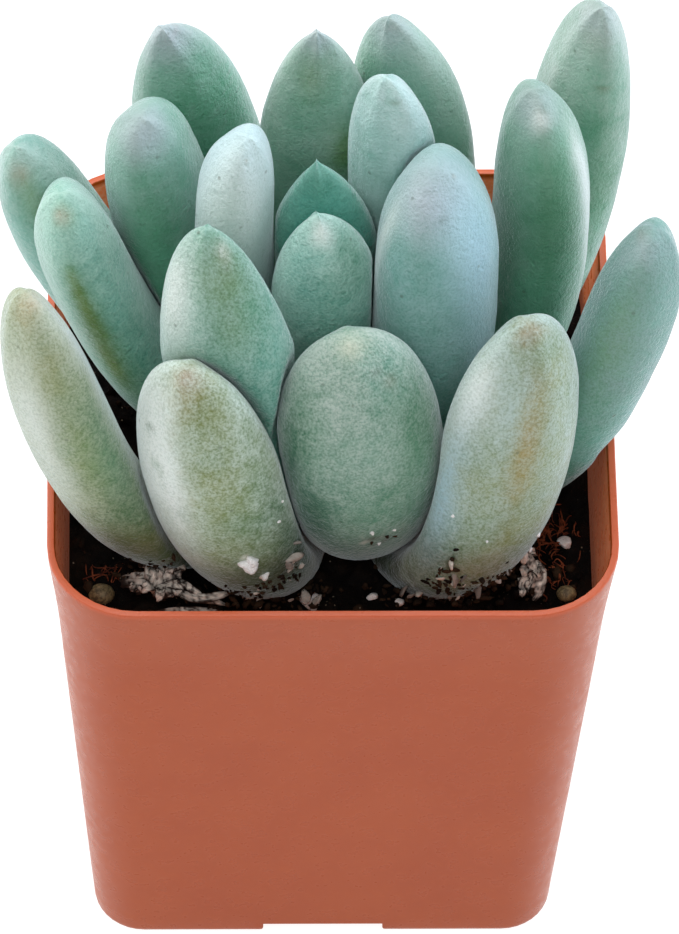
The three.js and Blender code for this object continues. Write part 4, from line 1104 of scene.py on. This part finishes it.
def ball(divisions):
    """A round ball of radius 1 as rings of points, with a point at each end."""
    rows = np.arange(1, divisions) / divisions * math.pi
    turns = np.arange(2 * divisions) / divisions * math.pi
    rings = np.stack([
        np.sin(rows)[:, None] * np.cos(turns), np.sin(rows)[:, None] * np.sin(turns),
        -np.cos(rows)[:, None] * np.ones_like(turns)], axis=-1)
    return closed_surface(rings, (0, 0, -1), (0, 0, 1))


def chipped(directions, generator, planes=9):
    """How far out a broken grain reaches along each direction: the least distance at which one of a
    few random planes cuts it off."""
    normals = unit(generator.normal(size=(planes, 3)))
    reach = generator.uniform(0.62, 0.95, planes) / np.maximum(directions @ normals.T, 0.1)
    return np.minimum(reach.min(axis=-1), 1.2)


def lumps(centres, sizes, divisions, seed, flatness):
    """Many small lumps as one surface: a ball, chipped and pushed in and out by noise, turned at
    random and scaled to its size at each centre."""
    generator = np.random.default_rng(seed)
    base, faces = ball(divisions)
    count = len(centres)
    apart = 7.3 * np.arange(count)[:, None, None]
    pushed = 1 + RUGGEDNESS * rough(base[None] + apart, 0.9, seed, 2)
    pushed = pushed * np.array([chipped(base, generator) for _ in range(count)])
    shaped = base[None] * pushed[..., None] * (np.array(flatness) * sizes[:, None])[:, None]
    turn = unit(generator.normal(size=(count, 4)))
    w, x, y, z = turn.T[:, :, None]
    axis = np.stack([x, y, z], axis=-1)
    twice = 2 * np.cross(np.broadcast_to(axis, shaped.shape), shaped)
    turned = shaped + w[..., None] * twice + np.cross(np.broadcast_to(axis, shaped.shape), twice)
    points = (turned + centres[:, None]).reshape(-1, 3)
    step = len(base)
    all_faces = []
    for start in range(0, count * step, step):
        all_faces += [[index + start for index in face] for face in faces]
    return points, all_faces


def path_frames(line, count, upright):
    """Points on a cubic curve, the direction across it at each, square to the curve and to an
    upright that it never follows, and the direction square to both."""
    middle = cubic(np.linspace(0, 1, count)[:, None], *np.array(line, float))
    along = unit(np.gradient(middle, axis=0))
    side = unit(np.cross(along, upright))
    return middle, side, np.cross(side, along)


def thread(line, radius, sides=6, count=18):
    """A thin round thread: rings of radius carried along a curve and drawn in at both ends."""
    middle, side, up = path_frames(line, count, (0.3, 0.2, 1.0))
    turn = np.arange(sides) / sides * 2 * math.pi
    size = radius * (0.35 + 0.65 * np.sin(np.linspace(0.12, math.pi - 0.12, count)) ** 0.5)
    around = np.cos(turn)[None, :, None] * side[:, None] - np.sin(turn)[None, :, None] * up[:, None]
    rings = middle[:, None] + size[:, None, None] * around
    return closed_surface(rings[:, ::-1], middle[0], middle[-1])


def blade(line, width, curl, seed, count=26, sides=22):
    """A shrivelled blade: flat ellipses carried along a curve, bent up at both sides by the square
    of the distance from the middle, with lengthwise folds and a ragged end."""
    middle, side, up = path_frames(line, count, (0.05, 0.02, 1.0))
    s = np.linspace(0, 1, count)
    turn = np.arange(sides) / sides * 2 * math.pi
    wide = width / 2 * (0.4 + 0.6 * np.sin(math.pi * (0.1 + 0.75 * s))) * (1 - 0.6 * between(0.85, 1, s))
    thick = 0.22 * width * (0.6 + 0.4 * np.sin(math.pi * s))
    x = np.cos(turn)[None] * wide[:, None]
    folds = 0.09 * width * np.sin(7 * np.cos(turn)[None] + seed + 2 * s[:, None])
    lift = curl * width * 0.5 * np.cos(turn)[None] ** 2 * np.sin(math.pi * s ** 0.7)[:, None]
    z = np.sin(turn)[None] * thick[:, None] + lift + folds
    rings = middle[:, None] + x[..., None] * side[:, None] + z[..., None] * up[:, None]
    crumpled = rough(rings, 0.9, seed + 80) + 0.5 * rough(rings, 0.4, seed + 90)
    rings = rings + 0.24 * width * crumpled[..., None] * (up + 0.6 * side)[:, None]
    return closed_surface(rings[:, ::-1], rings[0].mean(axis=0), rings[-1].mean(axis=0))


def blade_shade(count=26, sides=22):
    """How much painted shade each point of a blade has: most down its two sides and at its root."""
    side = np.abs(np.cos(np.arange(sides) / sides * 2 * math.pi)) ** 5
    along = np.linspace(1, 0, count)[:, None] ** 4
    return np.append(np.maximum(side[None, ::-1], 0.9 * along).ravel(), (1, 0.3))


def tuft_blades(place, spread, height, count, width, seed):
    """The rows of a ring of blades that rise round a place, arch outwards and hang over at their
    ends."""
    generator = np.random.default_rng(seed + 50)
    rows = []
    for k in range(count):
        turn = 2 * math.pi * (k + generator.uniform(-0.35, 0.35)) / count
        far = spread * generator.uniform(0.6, 1.1)
        high = height * generator.uniform(0.6, 1.15)
        out = np.array([math.cos(turn), math.sin(turn), 0.0])
        up = np.array([0.0, 0.0, 1.0])
        aside = np.array([-out[1], out[0], 0.0]) * generator.normal(0, 0.3 * spread)
        base = np.array(place)
        line = [
            base + 0.35 * far * out,
            base + 0.6 * far * out + high * up + 0.4 * aside,
            base + far * out + 1.25 * high * up + aside,
            base + 1.3 * far * out + 0.7 * high * up + aside,
        ]
        rows.append((line, width * generator.uniform(0.7, 1.2), generator.uniform(0.3, 0.9)))
    return rows


def place_piece(piece, slot, *nodes):
    """Lets a piece ride on the one body and stand for its CAD nodes, which it hides. Its slot is not used.
    """
    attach(piece, "root")
    if nodes:
        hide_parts(*nodes)


class PotLooks(bpy.types.PropertyGroup):
    """What a user would change about the pot."""
    plastic: bpy.props.FloatVectorProperty(
        name="Plastic", description="Colour of the moulded plastic", subtype="COLOR", size=4,
        min=0, max=1, default=to_linear("#a64202"))


class LeafLooks(bpy.types.PropertyGroup):
    """What a user would change about the leaves."""
    wax_colour: bpy.props.FloatVectorProperty(
        name="Wax", description="Tint laid over the powdery wax of every leaf", subtype="COLOR", size=4,
        min=0, max=1, default=to_linear("#e7efeb"))
    grain_size: bpy.props.FloatProperty(
        name="Wax grain", description="Width of a grain of wax", unit="LENGTH",
        default=0.0003, precision=5)


class SoilLooks(bpy.types.PropertyGroup):
    """What a user would change about the soil and what lies on it."""
    peat: bpy.props.FloatVectorProperty(
        name="Peat", description="Colour of the damp peat", subtype="COLOR", size=4, min=0, max=1,
        default=to_linear("#080606"))
    dead_leaf: bpy.props.FloatVectorProperty(
        name="Dead leaf", description="Colour of a withered leaf", subtype="COLOR", size=4, min=0, max=1,
        default=to_linear("#fbf4ea"))
    crumb_count: bpy.props.IntProperty(
        name="Crumbs", description="How many loose crumbs lie on the soil", default=900, min=0)


class StageLooks(bpy.types.PropertyGroup):
    """What a user would change about the studio."""
    floor_colour: bpy.props.FloatVectorProperty(
        name="Floor", description="Colour of the floor", subtype="COLOR", size=4, min=0, max=1,
        default=(0.3, 0.3, 0.3, 1))
    floor_glow: bpy.props.FloatProperty(
        name="Floor glow", description="Light that the floor gives off", default=0.9, min=0)
    sky: bpy.props.FloatProperty(
        name="Sky", description="Strength of the even light from all round", default=0.4, min=0)


# The skins of the leaves once they have grown, for what sticks to them
GROWN = {}


def skin_spots(leaf, lengths, angles, whole):
    """Points of a grown leaf's skin at lengths along it and angles round it in degrees. The rings'
    lengths follow a sine, and a place is made a whole ring and side by rounding or cutting off."""
    ring = whole(np.arcsin(lengths) * 2 / math.pi * LEAF_RINGS).astype(int)
    side = whole(np.array(angles) / 360 * LEAF_SIDES).astype(int) % LEAF_SIDES
    return GROWN[leaf][ring, side].tolist()


def bits_of_kind(kind, generator):
    """The centres and sizes of the bits of a kind: those stuck at a place, those splashed over a
    leaf's foot and those in the litter."""
    centres = []
    sizes = []
    for leaf, bits in STUCK_BITS.items():
        chosen = [bit for bit in bits if bit[3] == kind]
        if chosen:
            lengths, angles, widths, _ = zip(*chosen)
            centres += skin_spots(leaf, lengths, angles, np.rint)
            sizes += widths
    for leaf, lengths, angles, count, size, splash_kind in SPLASHES:
        if splash_kind == kind:
            spots = generator.uniform(*lengths, count), generator.uniform(*angles, count)
            centres += skin_spots(leaf, *spots, np.floor)
            sizes += (size * generator.uniform(0.3, 1.2, count)).tolist()
    for place, spread, height, count, size, litter_kind in LITTER:
        if litter_kind == kind:
            flat = np.array(place) + generator.normal(size=(count, 2)) * np.array(spread)
            centres += np.column_stack([flat, height + generator.normal(0, 0.35, count)]).tolist()
            sizes += (size * generator.uniform(0.35, 1.2, count)).tolist()
    return np.array(centres), np.array(sizes)


class PACHYVERIA_OT_leaves(bpy.types.Operator):
    """Grow the nineteen living leaves"""
    bl_idname = "pachyveria.leaves"
    bl_label = "Living leaves"

    def execute(self, context):
        material = leaf_material(context.scene.pachyveria_leaves)
        cores = [LeafCore(leaf, rank) for rank, leaf in enumerate(LEAVES)]
        for rank, leaf in enumerate(LEAVES):
            rings, frames, angles = leaf_surface(leaf, rank, cores)
            GROWN[leaf.name] = rings
            points, faces = closed_surface(rings, frames.at[0], np.array(leaf.tip, float))
            made = new_object(leaf.name + "_skin", points, faces, material)
            s = np.append(np.repeat(frames.s, LEAF_SIDES), (0, 1))
            angle = np.append(np.tile(angles, LEAF_RINGS), (math.pi / 2, math.pi / 2))
            tissue, wax, bloom = leaf_colours(leaf, points, s, angle)
            add_values(made, "tissue", tissue)
            add_values(made, "wax", wax)
            add_values(made, "bloom", bloom)
            radius = leaf.width / 2
            down = STREAK_LENGTH * s + STREAKS_APART * rank
            flow = np.column_stack([radius * np.cos(angle), radius * np.sin(angle), down])
            add_values(made, "flow", flow * MM)
            place_piece(made, leaf.slot, leaf.name)
        return {"FINISHED"}


class PACHYVERIA_OT_bits(bpy.types.Operator):
    """Lay crumbs, perlite and dead scraps on and against the feet of the front leaves"""
    bl_idname = "pachyveria.bits"
    bl_label = "Stuck bits"

    def execute(self, context):
        looks = context.scene.pachyveria_soil
        generator = np.random.default_rng(17)
        kinds = {
            "perlite": ("perlite_bits", perlite_material(), "perlite"),
            "crumb": ("crumb_bits", soil_material(looks), "potting_soil"),
            "dead": ("dead_leaf_bits", withered_material(looks), "withered_tissue"),
        }
        for kind, (name, material, slot) in kinds.items():
            centres, sizes = bits_of_kind(kind, generator)
            shape, divisions = BIT_FORMS[kind]
            made = new_object(name, *lumps(centres, sizes, divisions, 31, shape), material)
            tones = 0.85 * generator.random(len(sizes)) ** 0.8
            add_values(made, "tone", np.repeat(tones, len(made.data.vertices) // len(sizes)))
            place_piece(made, slot)
        return {"FINISHED"}


class PACHYVERIA_OT_pot(bpy.types.Operator):
    """Mould the square pot"""
    bl_idname = "pachyveria.pot"
    bl_label = "Pot"

    def execute(self, context):
        place_piece(make_pot(context.scene.pachyveria_pot), "pot_plastic", "pot")
        return {"FINISHED"}


class PACHYVERIA_OT_soil(bpy.types.Operator):
    """Fill the pot with soil and scatter loose crumbs on it"""
    bl_idname = "pachyveria.soil"
    bl_label = "Soil"

    def execute(self, context):
        looks = context.scene.pachyveria_soil
        material = soil_material(looks)
        place_piece(make_soil(material), "potting_soil", "soil")
        generator = np.random.default_rng(5)
        count = looks.crumb_count
        half = wall_at(SOIL_LEVEL, CRUMB_INSET)[0] / 2
        flat = generator.uniform(-half, half, (count, 2))
        corner = np.abs(flat) - (half - CRUMB_CORNER)
        flat = flat[np.hypot(*np.maximum(corner, 0).T) < CRUMB_CORNER_REACH]
        sizes = 0.22 + 0.75 * generator.random(len(flat)) ** 3
        centres = np.column_stack([flat, soil_height(*flat.T) + 0.1 * sizes])
        crumbs = new_object("soil_crumbs", *lumps(centres, sizes, 4, 9, (1, 0.8, 0.7)), material)
        tone = np.repeat(0.7 * generator.random(len(flat)) ** 3, len(crumbs.data.vertices) // len(flat))
        add_values(crumbs, "tone", tone)
        place_piece(crumbs, "potting_soil")
        return {"FINISHED"}


class PACHYVERIA_OT_fibres(bpy.types.Operator):
    """Lay dried root fibres on the soil"""
    bl_idname = "pachyveria.fibres"
    bl_label = "Root fibres"

    def execute(self, context):
        generator = np.random.default_rng(12)
        parts = []
        for place, count, spread in FIBRES:
            for _ in range(count):
                start = np.array(place) + generator.normal(0, spread, 2)
                way = generator.normal(0, 0.6, 2)
                bend = generator.normal(0, 0.8, 2)
                flat = [start - way, start - 0.3 * way + bend, start + 0.4 * way - bend, start + way]
                flat = np.clip(flat, -FIBRE_LIMIT, FIBRE_LIMIT)
                high = np.array([0.1, 0.9, 1.1, 0.2]) * generator.uniform(0.5, 1.2) + 0.1
                line = np.column_stack([flat, soil_height(*flat.T) + high])
                parts.append(thread(line, generator.uniform(0.05, 0.1)))
        place_piece(new_object("root_fibres", *joined(parts), fibre_material()), "potting_soil")
        return {"FINISHED"}


class PACHYVERIA_OT_withered(bpy.types.Operator):
    """Lay the withered leaves on the soil"""
    bl_idname = "pachyveria.withered"
    bl_label = "Withered leaves"

    def execute(self, context):
        material = withered_material(context.scene.pachyveria_soil)
        for name, blades, tufts in WITHERED:
            rows = blades + [row for k, tuft in enumerate(tufts) for row in tuft_blades(*tuft, seed=k)]
            points, faces = joined([blade(*row, seed=k) for k, row in enumerate(rows)])
            made = new_object(name + "_curl", points, faces, material)
            # Painted shade: darker down each blade's sides, at its root, low down by the soil and along
            # creases
            tone = np.tile(blade_shade(), len(rows)) + 0.6 * between(60.6, 59.4, points[:, 2])
            crease_shade = np.exp(-(rough(points, 0.8, 31) / 0.16) ** 2)
            add_values(made, "tone", np.clip(tone + 0.9 * crease_shade, 0, 1))
            place_piece(made, "withered_tissue", name)
        return {"FINISHED"}


class PACHYVERIA_OT_grains(bpy.types.Operator):
    """Press perlite grains and pebbles into the soil"""
    bl_idname = "pachyveria.grains"
    bl_label = "Grains"

    def execute(self, context):
        materials = {"perlite": perlite_material(), "pebble": pebble_material()}
        for number, (name, kind, (x, y), size) in enumerate(GRAINS):
            centre = np.array([[x, y, float(soil_height(x, y))]])
            base, faces = ball(14)
            pushed = 0.98 + 0.1 * rough(base + 5 * number, 0.8, number, 3)
            if kind == "perlite":
                pushed = 1.15 * chipped(base, np.random.default_rng(number)) + 0.2 * (pushed - 0.98)
            points = base * pushed[:, None] * size * np.array(GRAIN_FLATTENING) + centre
            made = new_object(name + "_stone", points, faces, materials[kind])
            place_piece(made, kind, name)
        return {"FINISHED"}


class PACHYVERIA_OT_stem(bpy.types.Operator):
    """Give the stem its bark"""
    bl_idname = "pachyveria.stem"
    bl_label = "Stem"

    def execute(self, context):
        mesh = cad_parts["stem"].data
        mesh.materials.clear()
        mesh.materials.append(stem_material())
        return {"FINISHED"}


def placed(name, data, axes, place):
    """An object for a light or a camera at a place in millimetres, turned to three axes."""
    made = bpy.data.objects.new(name, data)
    matrix = np.eye(4)
    matrix[:3, :3] = np.column_stack(axes)
    matrix[:3, 3] = np.array(place) * MM
    made.matrix_world = Matrix(matrix.tolist())
    bpy.context.scene.collection.objects.link(made)
    return made


def add_light(name, place, size, power, colour):
    """A square area light at a place in millimetres, turned to the plant."""
    light = bpy.data.lights.new(name, "AREA")
    light.size = size * MM
    light.energy = power
    light.color = to_linear(colour)[:3]
    away = unit(np.array(place, float) - np.array(LIGHT_AIM, float))
    right = unit(np.cross((0.02, 0.01, 1.0), away))
    placed(name, light, (right, np.cross(away, right), away), place)


def add_camera():
    """The camera, which looks along its yaw and elevation at its aim and is rolled about that line."""
    yaw, elevation, roll = (math.radians(v) for v in (CAMERA_YAW, CAMERA_ELEVATION, CAMERA_ROLL))
    flat = math.cos(elevation)
    back = np.array([math.sin(yaw) * flat, -math.cos(yaw) * flat, math.sin(elevation)])
    right = np.array([math.cos(yaw), math.sin(yaw), 0.0])
    up = np.cross(back, right)
    rolled_right = math.cos(roll) * right + math.sin(roll) * up
    rolled_up = -math.sin(roll) * right + math.cos(roll) * up
    camera = bpy.data.cameras.new("camera")
    camera.lens = CAMERA_LENS
    camera.sensor_width = CAMERA_SENSOR
    place = np.array(CAMERA_AIM) + CAMERA_DISTANCE * back
    return placed("camera", camera, (rolled_right, rolled_up, back), place)


class PACHYVERIA_OT_stage(bpy.types.Operator):
    """Set up the floor, the lights and the camera"""
    bl_idname = "pachyveria.stage"
    bl_label = "Stage"

    def execute(self, context):
        looks = context.scene.pachyveria_stage
        square = FLOOR_HALF * np.array([(-1, -1), (1, -1), (1, 1), (-1, 1)])
        corners = np.column_stack([square, np.full(4, FLOOR_LEVEL)])
        new_object("floor", corners, [[0, 1, 2, 3]], floor_material(looks))
        world = bpy.data.worlds.new("studio")
        world.use_nodes = True
        world.node_tree.nodes.clear()
        sky = node(world.node_tree, "Background", {"Color": (1, 1, 1, 1), "Strength": looks.sky})
        node(world.node_tree, "OutputWorld", {"Surface": sky})
        context.scene.world = world
        for light in LIGHTS:
            add_light(*light)
        context.scene.camera = add_camera()
        context.scene.view_settings.view_transform = "Standard"
        return {"FINISHED"}


OPERATORS = [
    PACHYVERIA_OT_stage, PACHYVERIA_OT_pot, PACHYVERIA_OT_soil, PACHYVERIA_OT_fibres, PACHYVERIA_OT_stem,
    PACHYVERIA_OT_leaves, PACHYVERIA_OT_bits, PACHYVERIA_OT_withered, PACHYVERIA_OT_grains,
]
GROUPS = {
    "pachyveria_pot": PotLooks, "pachyveria_leaves": LeafLooks, "pachyveria_soil": SoilLooks,
    "pachyveria_stage": StageLooks,
}


class PACHYVERIA_PT_panel(bpy.types.Panel):
    """The pieces of the potted plant and their settings"""
    bl_idname = "PACHYVERIA_PT_panel"
    bl_label = "Potted pachyveria"
    bl_space_type = "VIEW_3D"
    bl_region_type = "UI"
    bl_category = "Pachyveria"

    def draw(self, context):
        for name, group in GROUPS.items():
            box = self.layout.box()
            for setting in group.__annotations__:
                box.prop(getattr(context.scene, name), setting)
        for operator in OPERATORS:
            self.layout.operator(operator.bl_idname)


def register():
    for group in GROUPS.values():
        bpy.utils.register_class(group)
    for operator in OPERATORS:
        bpy.utils.register_class(operator)
    bpy.utils.register_class(PACHYVERIA_PT_panel)
    for name, group in GROUPS.items():
        setattr(bpy.types.Scene, name, bpy.props.PointerProperty(type=group))


def unregister():
    for name in GROUPS:
        delattr(bpy.types.Scene, name)
    bpy.utils.unregister_class(PACHYVERIA_PT_panel)
    for operator in reversed(OPERATORS):
        bpy.utils.unregister_class(operator)
    for group in GROUPS.values():
        bpy.utils.unregister_class(group)


def main():
    register()
    bpy.ops.pachyveria.stage()
    bpy.ops.pachyveria.pot()
    bpy.ops.pachyveria.soil()
    bpy.ops.pachyveria.fibres()
    bpy.ops.pachyveria.stem()
    bpy.ops.pachyveria.leaves()
    bpy.ops.pachyveria.bits()
    bpy.ops.pachyveria.withered()
    bpy.ops.pachyveria.grains()


if __name__ == "__main__":
    main()
